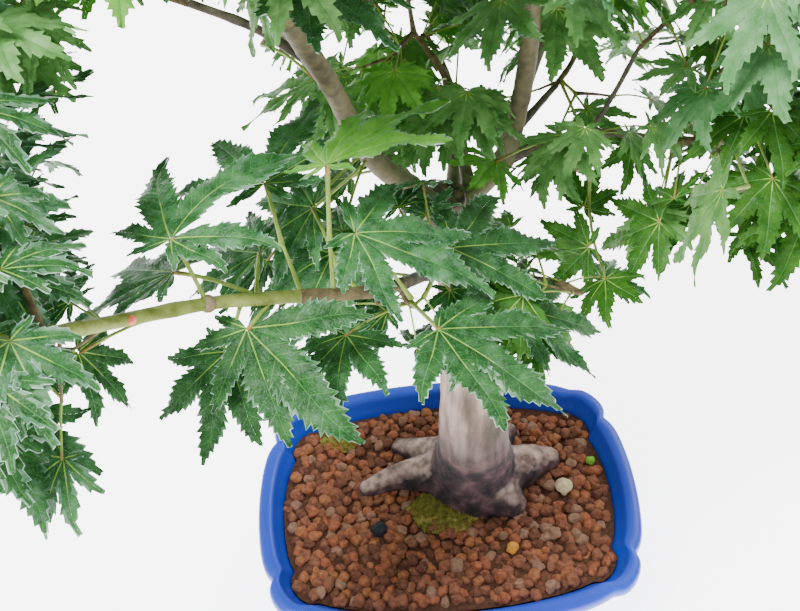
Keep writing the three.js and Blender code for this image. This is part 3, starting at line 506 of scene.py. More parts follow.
# The first season is the solids' own. The later ones fill the same spaces with finer twigs and
# smaller leaves, and the last grows only where the photo's back is dense
SEASONS = [
    {"leaves": 15, "rounds": 1500, "size": [32, 41], "own": 4.5, "neighbour": 8, "limb": 3},
    {"leaves": 46, "rounds": 1400, "size": [21, 30], "own": 2.6, "neighbour": 3.8, "limb": 2},
    {"leaves": 62, "rounds": 900, "size": [17, 24], "own": 2.2, "neighbour": 3, "limb": 2},
    {
        "leaves": 130, "rounds": 3500, "size": [18, 27], "own": 2, "neighbour": 2.6, "limb": 1.5,
        "windows": [
            [322, -20, 500, 215], [278, 155, 352, 250], [420, 250, 470, 312], [190, 235, 345, 345],
        ],
    },
]
ADDING_SEASON = 1

# The look of a leaf. Away from the front, leaves are drawn smaller and slimmer than the solids'.
# Widths, notches and bends are shares of a lobe's length, unless millimetres are named
NEAR_LOOK = {"lobe_width": 0.145, "sinus": 0.28, "vein_reach": 0.42}
FAR_LOOK = {"lobe_width": 0.135, "sinus": 0.24, "vein_reach": 0.13}
FAR_WIDTH_SPREAD = [0.9, 1.15]
FAR_SIZE = 0.78
LEAF_SEED = 5000
# The width of a lobe's half against its widest, at these places from the notch to the tip. The
# first place has the notch's own width
PROFILE_AT = [0, 0.12, 0.25, 0.4, 0.55, 0.7, 0.84, 0.94, 1]
PROFILE = [0.88, 1, 0.97, 0.83, 0.61, 0.36, 0.16, 0.02]
GAP_FILL = 0.7
OUTER_GAP = 26
OUTER_SINUS = 0.1
DEEPEST_SINUS = 0.6
# Rows of points up to the notch, for a listed leaf and for the others
BASE_ROWS = [4, 3]
FIRST_ROW = 0.08
# Teeth: millimetres from one to the next, for a listed leaf and for the others, and how far
# they stand out, lean forward and cut in, as shares of that distance
TOOTH_EVERY = [3.2, 3.6]
FEWEST_TEETH = 3
TOOTH_OUT = 0.58
TOOTH_FORWARD = 0.6
NOTCH_IN = 0.1
TOOTH_SPREAD = [0.6, 1.25]
LESSER_TOOTH = 0.65
FULL_TOOTH_LENGTH = 38
TOOTH_FADE = {"width": 0.1, "least": 0.1}
# Half widths in millimetres: at the tip, the least beside it, and the least that veins reckon with
TIP_WIDTH = 0.05
LEAST_WIDTH = 0.06
THIN = 0.1
# Veins: how far back the side veins start for their width, where the first and the last start, and
# the half width of the middle vein and of the side veins in millimetres
VEIN_SLANT = 0.75
VEIN_FIRST = 0.02
VEIN_LAST = 0.2
VEIN_WIDTH = 0.22
VEIN_TAPER = 1.15
VEIN_MOST = 0.35
RIB_WIDTH = 0.16
RIB_STEP = 0.02
ROOT_SPREAD = 0.15
# The pale margin's width in millimetres, and the share of the half width that it never reaches
MARGIN_WIDTH = 0.17
MARGIN_FROM = 0.7
# Where the blade swells between its veins, from the middle to the margin, and how high
QUILT_AT = [0.3, 0.84]
QUILT_EASE = 0.9
FAR_QUILT_AT = 0.55
QUILTING = 0.3
QUILT_FULL_WIDTH = 4
# The blade's fold along its middle, its ripples, and the bend, bow, droop and twist of its lobes
FOLD = 0.62
FOLD_EASE = 0.8
RIPPLE = 0.03
RIPPLE_WAVES = 1.7
RIPPLE_EASE = 4
BEND_FROM = 0.3
BEND = 0.06
BEND_SHARE = 6
BOW_SHARE = 4
DROOP = 0.16
TWIST = [0.15, 0.35]
ARCH_SPREAD = [0.9, 1.5]
# Shares of a pale-edged leaf's margin rows that get pale hairs with painted sheen, and that get a softer
# band of painted sheen beside the margin
HAIRS_SHEEN_SHARE = 0.75
SOFT_SHEEN_SHARE = 0.6

# Twigs, and the petioles that carry the leaves: radii at their two ends, sides, and bows as shares
# of their length
TWIG_SEED = 10000
STALK_RADII = [0.8, 0.6]
FINE_TWIG_RADII = [0.75, 0.5]
TWIG_SIDES = 6
TWIG_STEP = 3
FEWEST_TWIG_STEPS = 3
TWIG_ENDS = [1.25, 1.35]
TWIG_TAPER = 0.8
TWIG_BOW = [-0.05, 0.05]
STEM_SIDES = 10
STEM_STATIONS_PER_POINT = 7
STEM_SWELL = 0.14
SHOOT_RADII = [0.75, 0.5]
SHOOT_STATIONS = 30
SHOOT_SIDES = 8
# A petiole's width goes with the leaf's size. The extra is for a listed leaf, and others
PETIOLE_WIDTH = 0.5
PETIOLE_WIDTH_AT = 40
PETIOLE_EXTRA = [0.22, 0.08]
PETIOLE_SWELL = [1.5, 1.05, 0.95, 0.92, 0.92, 0.95, 1.05, 1.1]
PETIOLE_SIDES = 5
PETIOLE_BOW = [-0.02, 0.09]
PETIOLE_OVERLAP = 0.6

# Tints of the leaves, each from its dark to its light tone. Where a leaf low in the crown is given the
# deep or bottle tone, its dark green is partly painted shade
TINTS = {
    "glaucous": [(0.011, 0.064, 0.013), (0.055, 0.178, 0.054)],
    "deep": [(0.008, 0.050, 0.008), (0.036, 0.128, 0.032)],
    "leafy": [(0.076, 0.215, 0.046), (0.155, 0.330, 0.100)],
    "forest": [(0.054, 0.162, 0.030), (0.118, 0.260, 0.066)],
    "bottle": [(0.018, 0.084, 0.005), (0.046, 0.142, 0.014)],
    "young": [(0.080, 0.270, 0.022), (0.135, 0.360, 0.050)],
    "sage": [(0.060, 0.190, 0.055), (0.130, 0.290, 0.120)],
}
TINT_NAMES = list(TINTS)
# Numbers of materials: on the leaves after the tints, and on the twigs
VEIN_BRIGHT, VEIN_SOFT, MARGIN_HAIRS_SHEEN, MARGIN_SOFT_SHEEN = range(len(TINTS), len(TINTS) + 4)
BARK, STALK, JOINT, SHOOT, BUD, NODE = range(6)
# Weights of frost, which is pale bloom with painted sheen, and the tints that each mass's sprays are dealt
BLOOM_SHEEN_TINTS = {"glaucous": 0.2, "deep": 0.12}
PLAIN_TINTS = ["forest", "bottle"]
LAST_SEASON_TINTS = {"young": "forest", "sage": "forest"}
NEAR_MASSES = ["front_left", "front", "front_right"]
MIDDLE_MASSES = ["right", "middle", "right_high", "upper_left", "left"]
HAIRS_SHEEN_MASSES = ["right_high", "upper_left", "top", "fork"]
NEAR_TINTS = ["glaucous", "glaucous", "deep"]
MIDDLE_TINTS = ["glaucous", "leafy", "leafy", "leafy", "forest", "young"]
FAR_TINTS = ["leafy", "leafy", "forest", "forest", "young"]
MASS_TINTS = {
    "front_right": ["bottle", "forest"],
    "right": ["bottle", "bottle", "bottle", "forest"],
    "right_high": ["sage", "leafy", "leafy", "sage"],
    "top": ["sage", "leafy", "glaucous"],
}
# Finish of the materials, the floor's glow and the light of the world
# Leaf specks and frost: pale waxy bloom, partly painted sheen
SPECK_SHEEN_TONE = (0.16, 0.34, 0.24)
SPECK_SHEEN_MIX = [0.55, 0.45]
BLOOM_SHEEN_TONE = (0.30, 0.44, 0.36)
NET_LIGHT = 1.7
LEAF_GLOSS = {
    "Specular IOR Level": 0.14, "Sheen Weight": 0.02, "Sheen Roughness": 0.4,
    "Sheen Tint": (0.75, 0.9, 1, 1),
}
GLAZE_GLOSS = {"Coat Weight": 0.12, "Coat Roughness": 0.25, "Specular IOR Level": 0.3}
STONE_GLOSS = {"Specular IOR Level": 0.25}
FLOOR_GLOW = {"Emission Color": (1, 1, 1, 1), "Emission Strength": 4.5}
FLOOR_HALF = 4
WORLD_LIGHT = {"Color": (1, 1, 1, 1), "Strength": 1.1}
SENSOR_WIDTH = 36


# Small helpers

def unit(vector):
    return vector / np.linalg.norm(vector)


def catmull_point(points, share):
    """A point of the smooth curve through the given points."""
    last = len(points) - 1
    place = last * share
    first = min(int(math.floor(place)), last - 1)
    w = place - first
    p1, p2 = points[first], points[first + 1]
    p0 = points[first - 1] if first > 0 else 2 * p1 - p2
    p3 = points[first + 2] if first + 2 <= last else 2 * p2 - p1
    t0 = 0.5 * (p2 - p0)
    t1 = 0.5 * (p3 - p1)
    return p1 + t0 * w + (-3 * p1 + 3 * p2 - 2 * t0 - t1) * w * w + (2 * p1 - 2 * p2 + t0 + t1) * w ** 3


def catmull(points, count):
    points = np.array(points, float)
    return np.array([catmull_point(points, i / count) for i in range(count + 1)])


def radius_at(radii, share):
    return np.interp(share * (len(radii) - 1), np.arange(len(radii)), radii)


def between(limits, share):
    return limits[0] + (limits[1] - limits[0]) * share


def waves_at(point, waves):
    """The sum of some waves of noise at a point, each with its height and its scale."""
    return sum(wave["height"] * noise.noise(Vector(point) * wave["scale"]) for wave in waves)


# Growing the foliage, by the same rule as the solids

def seeded_draws(seed):
    state = seed * DRAW_SEED[0] + DRAW_SEED[1]

    def draw():
        nonlocal state
        state = (state * DRAW_FACTOR) % DRAW_RANGE
        return state / DRAW_RANGE

    return draw


def leaf_frame(leaf):
    """Forward, left and upward directions of a leaf."""
    turn, dip, roll = (math.radians(leaf[key]) for key in ("turn", "dip", "roll"))
    forward = np.array([math.cos(turn) * math.cos(dip), math.sin(turn) * math.cos(dip), -math.sin(dip)])
    level = np.array([-math.sin(turn), math.cos(turn), 0.0])
    upright = np.cross(forward, level)
    left = level * math.cos(roll) + upright * math.sin(roll)
    above = upright * math.cos(roll) - level * math.sin(roll)
    return forward, left, above


def leaf_lobes(leaf):
    if leaf.get("lobes"):
        return leaf["lobes"]
    return [[angle, share * leaf["size"]] for angle, share in zip(LOBE_ANGLES, LOBE_SHARES)]


def leaf_samples(leaf):
    forward, left, above = leaf_frame(leaf)
    lobes = np.array(leaf_lobes(leaf)[1:-1], float)
    angle = np.radians(lobes[:, 0])[:, None]
    reach = lobes[:, 1][:, None] * np.arange(1, LOBE_SAMPLES + 1) / LOBE_SAMPLES
    drop = LEAF_ARCH * (reach / leaf["size"]) ** 2 * leaf["size"]
    spots = (
        leaf["heart"]
        + (np.cos(angle) * reach)[..., None] * forward
        + (np.sin(angle) * reach)[..., None] * left
        - drop[..., None] * above
    )
    middle = leaf["root"] + 0.5 * (leaf["heart"] - leaf["root"])
    return np.vstack([leaf["heart"], spots.reshape(-1, 3), middle])


def line_samples(start, end):
    count = max(1, math.ceil(np.linalg.norm(end - start) / TWIG_SAMPLE_STEP))
    return np.array([start + (end - start) * k / count for k in range(1, count + 1)])


def limb_samples():
    points, radii = [], []
    for limb in [TRUNK, *BOUGHS]:
        count = SAMPLES_PER_SPAN * (len(limb["points"]) - 1)
        points.append(catmull(limb["points"], count))
        radii += [radius_at(limb["radii"], i / count) for i in range(count + 1)]
    return np.vstack(points), np.array(radii)


def view_axes():
    down, lean = math.radians(VIEW["down"]), math.radians(VIEW["lean"])
    ahead = np.array([0, math.cos(down), -math.sin(down)])
    level = np.array([1.0, 0, 0])
    upright = np.cross(level, ahead)
    right = level * math.cos(lean) + upright * math.sin(lean)
    above = upright * math.cos(lean) - level * math.sin(lean)
    return right, above, ahead


VIEW_RIGHT, VIEW_ABOVE, VIEW_AHEAD = view_axes()


def seen_at(points):
    """Where points lie in the photo's view, in pixels, and how far they are from the camera."""
    sight = points - np.array(VIEW["eye"], float)
    depth = sight @ VIEW_AHEAD
    across = VIEW["middle"][0] + VIEW["focal"] * (sight @ VIEW_RIGHT) / depth
    along = VIEW["middle"][1] - VIEW["focal"] * (sight @ VIEW_ABOVE) / depth
    return across, along, np.linalg.norm(sight, axis=-1)


def within(window, across, along):
    x0, y0, x1, y1 = window[:4]
    return (across > x0) & (across < x1) & (along > y0) & (along < y1)


def seen_within(point, windows):
    across, along, _ = seen_at(point)
    return any(within(window, across, along) for window in windows)


def in_the_way(leaf):
    across, along, distance = seen_at(leaf["heart"])
    if any(within(window, across, along) and distance < window[-1] for window in NEAR_WINDOWS):
        return True
    across, along, distance = seen_at(leaf_samples(leaf))
    return bool(within(TWIG_WINDOW, across, along).any())


def spoils_view(points):
    """True where any point falls in a window of open sky, or in front of the front leaves."""
    across, along, distance = seen_at(points)
    if any(within(window, across, along).any() for window in SKY_WINDOWS):
        return True
    return bool((within(FRONT_WINDOW, across, along) & (distance < FRONT_DISTANCE)).any())


def inside_room(room, points):
    offset = (points - np.array(room["middle"])) / np.array(room["half"])
    return bool(((offset * offset).sum(axis=1) <= 1).all())


def nearest_on_stem(stem, point):
    points = np.array(stem, float)
    first = round(SEAT_CHOICES * STEM_BARE_SHARE)
    choices = [catmull_point(points, i / SEAT_CHOICES) for i in range(first, SEAT_CHOICES + 1)]
    return min(choices, key=lambda station: np.linalg.norm(station - point))


def hand_leaf(placed, season):
    return {
        **placed, "heart": np.array(placed["heart"], float), "root": np.array(placed["root"], float),
        "seat": 0, "placed": True, "season": season,
    }


class Cloud:
    """Sample points of all that has grown, with the mass that each belongs to."""

    def __init__(self):
        self.points = np.zeros((MOST_SAMPLES, 3))
        self.owner = np.full(MOST_SAMPLES, -1)
        self.blade = np.zeros(MOST_SAMPLES, bool)
        self.count = 0

    def add(self, points, owner, blade):
        last = self.count + len(points)
        self.points[self.count:last] = points
        self.owner[self.count:last] = owner
        self.blade[self.count:last] = blade
        self.count = last

    def crowded(self, samples, wanted, clearance):
        centre = samples.mean(axis=0)
        reach = np.linalg.norm(samples - centre, axis=1).max() + clearance
        points = self.points[:self.count]
        close = wanted & (np.abs(points - centre) < reach).all(axis=1)
        if not close.any():
            return False
        gaps = points[close][:, None, :] - samples[None, :, :]
        return bool(((gaps * gaps).sum(axis=2) < clearance * clearance).any())


class Grove:
    """The growing masses, their limbs and their samples."""

    def __init__(self):
        self.cloud = Cloud()
        self.limb_points, self.limb_radii = limb_samples()
        self.masses = []
        self.season = SEASONS[0]
        for number, rule in enumerate(MASSES):
            own = {
                "mass": rule, "name": rule["name"], "number": number, "draw": seeded_draws(rule["seed"]),
                "twigs": [], "leaves": [], "nodes": [],
            }
            self.masses.append(own)
            self.add_stem(own)
            for placed in rule["leaves"]:
                leaf = hand_leaf(placed, 0)
                foot = nearest_on_stem(rule["stem"], leaf["root"])
                if np.linalg.norm(foot - leaf["root"]) > TWIG_RADII[0]:
                    self.add_twig(own, foot, leaf["root"], True)
                self.add_leaf(own, leaf)

    def add_stem(self, own):
        stations = catmull(own["mass"]["stem"], STEM_STATIONS)[1:]
        self.cloud.add(stations, own["number"], False)
        own["nodes"] += list(stations)

    def add_leaf(self, own, leaf):
        samples = leaf_samples(leaf)
        own["leaves"].append(leaf)
        self.cloud.add(samples[:-1], own["number"], True)
        self.cloud.add(samples[-1:], own["number"], False)

    def add_twig(self, own, foot, root, placed=False):
        samples = line_samples(foot, root)
        radii = TWIG_RADII if self.season is SEASONS[0] else FINE_TWIG_RADII
        own["twigs"].append({"foot": foot, "root": root, "radii": radii, "placed": placed})
        self.cloud.add(samples, own["number"], False)
        own["nodes"].append(samples[-1])

    def fits(self, samples, own):
        if not len(samples):
            return True
        if not inside_room(own["mass"], samples) or spoils_view(samples):
            return False
        gaps = np.linalg.norm(self.limb_points[:, None, :] - samples[None, :, :], axis=2)
        if (gaps < self.limb_radii[:, None] + self.season["limb"]).any():
            return False
        others = self.cloud.owner[:self.cloud.count] != own["number"]
        return not self.cloud.crowded(samples, others, self.season["neighbour"])

    def try_leaf(self, own, root, heart, heading, seat):
        draw = own["draw"]
        leaf = {
            "heart": heart, "root": root, "seat": seat, "placed": False,
            "season": SEASONS.index(self.season),
            "turn": heading + (draw() - 0.5) * HEADING_SPREAD,
            "dip": between(LEAF_DIP, draw()),
            "roll": (draw() - 0.5) * 2 * LEAF_ROLL,
            "size": between(self.season["size"], draw()),
        }
        samples = leaf_samples(leaf)
        if not inside_room(own["mass"], samples):
            return False
        count = self.cloud.count
        blades = self.cloud.blade[:count] & (self.cloud.owner[:count] == own["number"])
        if self.cloud.crowded(samples, blades, self.season["own"]) or not self.fits(samples, own):
            return False
        self.add_leaf(own, leaf)
        return True

    def sow_leaf(self, own):
        middle, half = own["mass"]["middle"], own["mass"]["half"]
        draw = own["draw"]
        heart = np.array([
            middle[0] + half[0] * HEART_SHARE * (2 * draw() - 1),
            middle[1] + half[1] * HEART_SHARE * (2 * draw() - 1),
            middle[2] + half[2] * (2 * draw() - 1),
        ])
        petiole = between(PETIOLE_LENGTH, draw())
        if "windows" in self.season and not seen_within(heart, self.season["windows"]):
            return
        nodes = np.array(own["nodes"])
        foot = nodes[np.argmin(((nodes - heart) ** 2).sum(axis=1))]
        span = heart - foot
        distance = math.sqrt((span ** 2).sum())
        if distance > TWIG_REACH or distance < PETIOLE_LENGTH[0]:
            return
        twigged = distance > PETIOLE_LENGTH[1]
        root = foot + span * (1 - petiole / distance) if twigged else foot
        if twigged and not self.fits(line_samples(foot, root)[1:], own):
            return
        heading = math.degrees(math.atan2(span[1], span[0]))
        seat = -span / distance * SEAT_DEPTH if twigged else 0
        if not self.try_leaf(own, root, heart, heading, seat):
            return
        if twigged:
            self.add_twig(own, foot, root)
        for attempt in range(PARTNER_TRIES):
            side = 1 if attempt % 2 == 0 else -1
            turn = heading + side * between(PARTNER_TURN, draw())
            rise = math.radians(between(PARTNER_RISE, draw()))
            reach = np.array([math.cos(math.radians(turn)), math.sin(math.radians(turn)), math.tan(rise)])
            if self.try_leaf(own, root, root + unit(reach) * petiole, turn, seat):
                break

    def grow(self):
        for number, season in enumerate(SEASONS):
            self.season = season
            if number == ADDING_SEASON:
                for own in self.masses:
                    for placed in own["mass"]["added"]:
                        self.add_leaf(own, hand_leaf(placed, number))
            for _ in range(season["rounds"]):
                for own in self.masses:
                    if len(own["leaves"]) < season["leaves"]:
                        self.sow_leaf(own)
        for own in self.masses:
            self.clear_view(own)

    def clear_view(self, own):
        """Drops the leaves that hide what the photo shows, and the twigs that carried only them."""
        own["leaves"] = [leaf for leaf in own["leaves"] if leaf["placed"] or not in_the_way(leaf)]
        carrying = {tuple(leaf["root"]) for leaf in own["leaves"]}
        carrying |= {tuple(twig["foot"]) for twig in own["twigs"]}
        own["twigs"] = [twig for twig in own["twigs"] if tuple(twig["root"]) in carrying]


# Making meshes

class Batch:
    """Points and faces gathered into one mesh, with a material number for each face."""

    def __init__(self):
        self.points, self.faces, self.tints = [], [], []
        self.count = 0

    def add(self, points, faces, tints=0):
        """Faces and tints are one entry each, or lists of as many: quads apart from triangles."""
        faces = faces if isinstance(faces, list) else [faces]
        tints = tints if isinstance(tints, list) else [tints] * len(faces)
        self.points.append(points)
        for some, tint in zip(faces, tints):
            self.faces.append(some + self.count)
            self.tints.append(np.broadcast_to(tint, len(some)))
        self.count += len(points)

    def build(self, name, materials):
        points = (np.vstack(self.points) + SHIFT) * MM
        corners = np.concatenate([faces.ravel() for faces in self.faces])
        sizes = np.concatenate([np.full(len(faces), faces.shape[1]) for faces in self.faces])
        mesh = bpy.data.meshes.new(name)
        mesh.vertices.add(len(points))
        mesh.vertices.foreach_set("co", points.ravel())
        mesh.loops.add(len(corners))
        mesh.loops.foreach_set("vertex_index", corners.astype(np.int32))
        mesh.polygons.add(len(sizes))
        starts = np.concatenate([[0], np.cumsum(sizes)[:-1]])
        mesh.polygons.foreach_set("loop_start", starts.astype(np.int32))
        mesh.polygons.foreach_set("material_index", np.concatenate(self.tints).astype(np.int32))
        mesh.polygons.foreach_set("use_smooth", np.ones(len(sizes), bool))
        mesh.update(calc_edges=True)
        for material in materials:
            mesh.materials.append(material)
        return put_in_scene(name, mesh)


def put_in_scene(name, data):
    thing = bpy.data.objects.new(name, data)
    bpy.context.scene.collection.objects.link(thing)
    return thing


def grid_quads(rows, columns, wrap=False):
    row = np.arange(rows - 1)[:, None] * columns
    column = np.arange(columns if wrap else columns - 1)
    after = (column + 1) % columns
    quads = np.stack([row + column, row + after, row + columns + after, row + columns + column], axis=-1)
    return quads.reshape(-1, 4)


def tube(path, radii, sides):
    """A round limb along a path, with a radius for each of its stations."""
    path = np.asarray(path, float)
    along = np.gradient(path, axis=0)
    along /= np.linalg.norm(along, axis=1)[:, None]
    steep = abs(along[0][2]) > STEEP
    reference = np.array([1.0, 0, 0] if steep else [0, 0, 1.0])
    side = np.cross(reference, along[0])
    sides_at = []
    for direction in along:
        side = unit(side - direction * (side @ direction))
        sides_at.append(side)
    sides_at = np.array(sides_at)
    lifts_at = np.cross(along, sides_at)
    angles = np.arange(sides) * TAU / sides
    radii = np.asarray(radii, float)[:, None]
    across = (radii * np.cos(angles))[..., None] * sides_at[:, None, :]
    up = (radii * np.sin(angles))[..., None] * lifts_at[:, None, :]
    rings = (path[:, None, :] + across + up).reshape(-1, 3)
    points = np.vstack([rings, path[0], path[-1]])
    ring = np.arange(sides)
    after = (ring + 1) % sides
    first = np.stack([np.full(sides, len(rings)), after, ring], axis=1)
    top = (len(path) - 1) * sides
    last = np.stack([np.full(sides, len(rings) + 1), top + ring, top + after], axis=1)
    return points, [grid_quads(len(path), sides, wrap=True), np.vstack([first, last])]


def ball():
    """Points and faces of a round ball, one across from middle to skin."""
    mesh = bpy.data.meshes.new("ball")
    form = bmesh.new()
    bmesh.ops.create_icosphere(form, subdivisions=BALL_SPLITS, radius=1)
    form.to_mesh(mesh)
    form.free()
    points = np.array([vertex.co for vertex in mesh.vertices])
    faces = np.array([face.vertices for face in mesh.polygons])
    bpy.data.meshes.remove(mesh)
    return points, faces


# Leaves

def lobe_half(length, half_gap, sinus, width_share, chance, fine):
    """One half of a lobe: rows from the heart to the tip, columns from the midrib to the margin."""
    half = math.radians(half_gap)
    base_rows = BASE_ROWS[0 if fine else 1]
    reach = sinus * np.linspace(FIRST_ROW, 1, base_rows)
    teeth = max(FEWEST_TEETH, round(length / TOOTH_EVERY[0 if fine else 1]))
    number = np.arange(1, 2 * teeth + 1)
    q = number / (2 * teeth)
    start, first_width = reach[-1] * math.cos(half), reach[-1] * math.sin(half)
    widest = min(width_share * length, GAP_FILL * length * math.sin(half))
    profile = np.interp(q, PROFILE_AT, [first_width / widest, *PROFILE]) * widest
    tooth = number % 2
    full = number % 4 == 1
    spacing = (length - start) / teeth
    fade = np.clip(profile / (TOOTH_FADE["width"] * length), TOOTH_FADE["least"], 1)
    strength = np.array([chance.uniform(*TOOTH_SPREAD) for _ in number]) * np.where(full, 1, LESSER_TOOTH)
    out = (TOOTH_OUT * tooth * strength - NOTCH_IN * (1 - tooth)) * spacing * fade
    out = out * min(1, length / FULL_TOOTH_LENGTH)
    free_along = start + (length - start) * q
    base = np.concatenate([reach * math.cos(half), free_along])
    width = np.concatenate([reach * math.sin(half), profile])
    forward = TOOTH_FORWARD * spacing * tooth * strength
    edge_along = np.concatenate([reach * math.cos(half), free_along + forward])
    edge_along[-1] = length
    edge_across = np.concatenate([reach * math.sin(half), np.maximum(profile + out, LEAST_WIDTH)])
    edge_across[-1] = TIP_WIDTH
    slanted = np.clip(base - VEIN_SLANT * width, VEIN_FIRST * length, length - VEIN_LAST)
    root = np.maximum.accumulate(slanted) + np.linspace(0, ROOT_SPREAD, len(base))
    broad = np.maximum(edge_across, THIN)
    vein = np.minimum(VEIN_MOST, VEIN_WIDTH * (VEIN_TAPER - root / length) / broad)
    margin = np.maximum(MARGIN_FROM, 1 - MARGIN_WIDTH / broad)
    zero = 0 * vein
    quilts = [QUILT_AT[0] + QUILT_EASE * vein, QUILT_AT[1] + zero] if fine else [FAR_QUILT_AT + zero]
    columns = np.stack([zero, vein, *quilts, margin, zero + 1], axis=1)
    along = root[:, None] + (edge_along - root)[:, None] * columns
    across = edge_across[:, None] * columns
    ribs = np.concatenate([np.zeros(base_rows), np.where(tooth == 1, -1.0, 1.0)])[:, None]
    full_width = np.minimum(1, edge_across / QUILT_FULL_WIDTH)[:, None]
    swell = QUILTING * ribs * np.sin(np.pi * columns) * full_width
    free = free_share(along, start, length)
    ripple = RIPPLE * length * columns ** 2 * np.sin(TAU * (RIPPLE_WAVES * free + chance.random()))
    fold = FOLD * across * (1 - FOLD_EASE * columns)
    height = fold + swell + ripple * np.minimum(1, RIPPLE_EASE * free)
    ribbed = np.zeros(len(root) - 1, bool)
    if fine:
        order = np.sort(np.concatenate([np.arange(len(root)), base_rows + np.flatnonzero(full)]))
        ribbed = np.diff(order) == 0
        twin = np.flatnonzero(ribbed)
        along, across, height, root = along[order], across[order], height[order], root[order]
        along[twin, 1:-1] -= RIB_WIDTH / 2
        along[twin + 1, 1:-1] += RIB_WIDTH / 2
        root[twin + 1] += RIB_STEP
        along[twin + 1, 0] += 2 * RIB_STEP
    margin_rows = np.arange(len(root) - 1) >= base_rows - 1
    return along, across, height, root / length, ribbed, margin_rows


def free_share(along, start, length):
    """How far past the notch beside it a point of a lobe lies, from 0 to 1."""
    return np.clip((along - start) / (length - start), 0, 1)


def half_tints(leaf, place, ribbed, margin, columns, chance):
    """A material number for each face of half a lobe: blade, veins, and pale hairs with painted sheen near
    the margin.
    """
    rows = len(ribbed)
    zone = np.full((rows, columns), leaf["tint"])
    zone[ribbed, 1:-1] = VEIN_SOFT
    zone[:, 0] = np.where(place[:-1] < leaf["vein_reach"], VEIN_BRIGHT, VEIN_SOFT)
    if leaf["frosty"]:
        hairs_sheened = [chance.random() < HAIRS_SHEEN_SHARE for _ in range(rows)]
        zone[:, -1] = np.where(margin & hairs_sheened, MARGIN_HAIRS_SHEEN, leaf["tint"])
        soft_sheened = [chance.random() < SOFT_SHEEN_SHARE for _ in range(rows)]
        zone[:, -2] = np.where(margin & soft_sheened & ~ribbed, MARGIN_SOFT_SHEEN, zone[:, -2])
    return zone.ravel()


def leaf_mesh(leaf, chance):
    """Points, faces and material numbers of one leaf."""
    forward, left, above = leaf_frame(leaf)
    lobes = leaf_lobes(leaf)
    fine, size = leaf["placed"], leaf["size"]
    most_twist = TWIST[0 if fine else 1]
    arch = LEAF_ARCH * (1 if fine else chance.uniform(*ARCH_SPREAD))
    points, faces, tints = [], [], []
    count = 0
    for number, (angle, length) in enumerate(lobes):
        bend = chance.uniform(-BEND, BEND)
        droop = 0 if fine else chance.uniform(0, DROOP)
        twist = chance.uniform(-most_twist, most_twist)
        bow = leaf.get("bows", {}).get(number, 0)
        heading = math.radians(angle)
        ahead = forward * math.cos(heading) + left * math.sin(heading)
        beside = left * math.cos(heading) - forward * math.sin(heading)
        for side in (-1, 1):
            neighbour = number + side
            if 0 <= neighbour < len(lobes):
                gap = abs(lobes[neighbour][0] - angle) / 2
                sinus = leaf["sinus"] * (length + lobes[neighbour][1]) / 2
            else:
                gap, sinus = OUTER_GAP, OUTER_SINUS * size
            sinus = min(sinus, DEEPEST_SINUS * length)
            half = lobe_half(length, gap, sinus, leaf["lobe_width"], chance, fine)
            along, across, height, place, ribbed, margin = half
            free = free_share(along, BEND_FROM * length, length)
            height = height - arch * (along ** 2 + across ** 2) / size - droop * length * free ** 2
            height = height + twist * side * across * free
            sideways = side * across + bend * length * BEND_SHARE * free ** 2 * (1 - free)
            sideways = sideways + bow * BOW_SHARE * along * (1 - along / length)
            spots = (
                leaf["heart"]
                + along[..., None] * ahead
                + sideways[..., None] * beside
                + height[..., None] * above
            )
            rows, columns = along.shape
            quads = grid_quads(rows, columns)
            points.append(spots.reshape(-1, 3))
            faces.append((quads if side < 0 else quads[:, ::-1]) + count)
            tints.append(half_tints(leaf, place, ribbed, margin, columns - 1, chance))
            count += rows * columns
    return np.vstack(points), np.vstack(faces), np.concatenate(tints)


def dress(own, chance):
    """Gives each leaf of a mass its drawn form, and deals the tints spray by spray."""
    name = own["name"]
    near = name in NEAR_MASSES
    look = NEAR_LOOK if near else FAR_LOOK
    usual = NEAR_TINTS if near else MIDDLE_TINTS if name in MIDDLE_MASSES else FAR_TINTS
    choices = MASS_TINTS.get(name, usual)
    placed_choices = NEAR_TINTS if near else choices
    sprays = {}
    for leaf in own["leaves"]:
        leaf.update(leaf.get("drawn", {}))
        leaf["heart"] = np.array(leaf["heart"], float)
        width = look["lobe_width"] * (1 if near else chance.uniform(*FAR_WIDTH_SPREAD))
        leaf.setdefault("lobe_width", width)
        leaf.setdefault("sinus", look["sinus"])
        leaf["vein_reach"] = look["vein_reach"]
        if not near and not leaf["placed"] and leaf["season"] == 0:
            leaf["size"] *= FAR_SIZE
        key = tuple(np.round(leaf["root"], 1))
        if key not in sprays:
            sprays[key] = chance.choice(placed_choices if leaf["placed"] else choices)
        tint = "young" if leaf.get("young") else sprays[key]
        if leaf["season"] == len(SEASONS) - 1:
            tint = LAST_SEASON_TINTS.get(tint, tint)
        # A tone given to a leaf wins; deep and bottle on low leaves are partly painted shade
        tint = leaf.get("tone", tint)
        leaf["tint"] = TINT_NAMES.index(tint)
        # Leaves with pale-haired margins that carry painted sheen
        frosty = near or (name in HAIRS_SHEEN_MASSES and leaf["season"] == 0)
        leaf["frosty"] = frosty and tint not in PLAIN_TINTS


def make_leaves(own, materials):
    chance = random.Random(LEAF_SEED + own["number"])
    dress(own, chance)
    batch = Batch()
    for leaf in own["leaves"]:
        batch.add(*leaf_mesh(leaf, chance))
    piece = batch.build("leaves_" + own["name"], materials)
    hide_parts("foliage_" + own["name"])
    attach(piece, "root")


# Twigs

def stalk(start, end, radii, sides, bow):
    """A thin stalk that bows a little upward between its two ends."""
    share = np.linspace(0, 1, len(radii))
    path = start + (end - start) * share[:, None]
    path[:, 2] += bow * np.linalg.norm(end - start) * np.sin(np.pi * share)
    return tube(path, radii, sides)


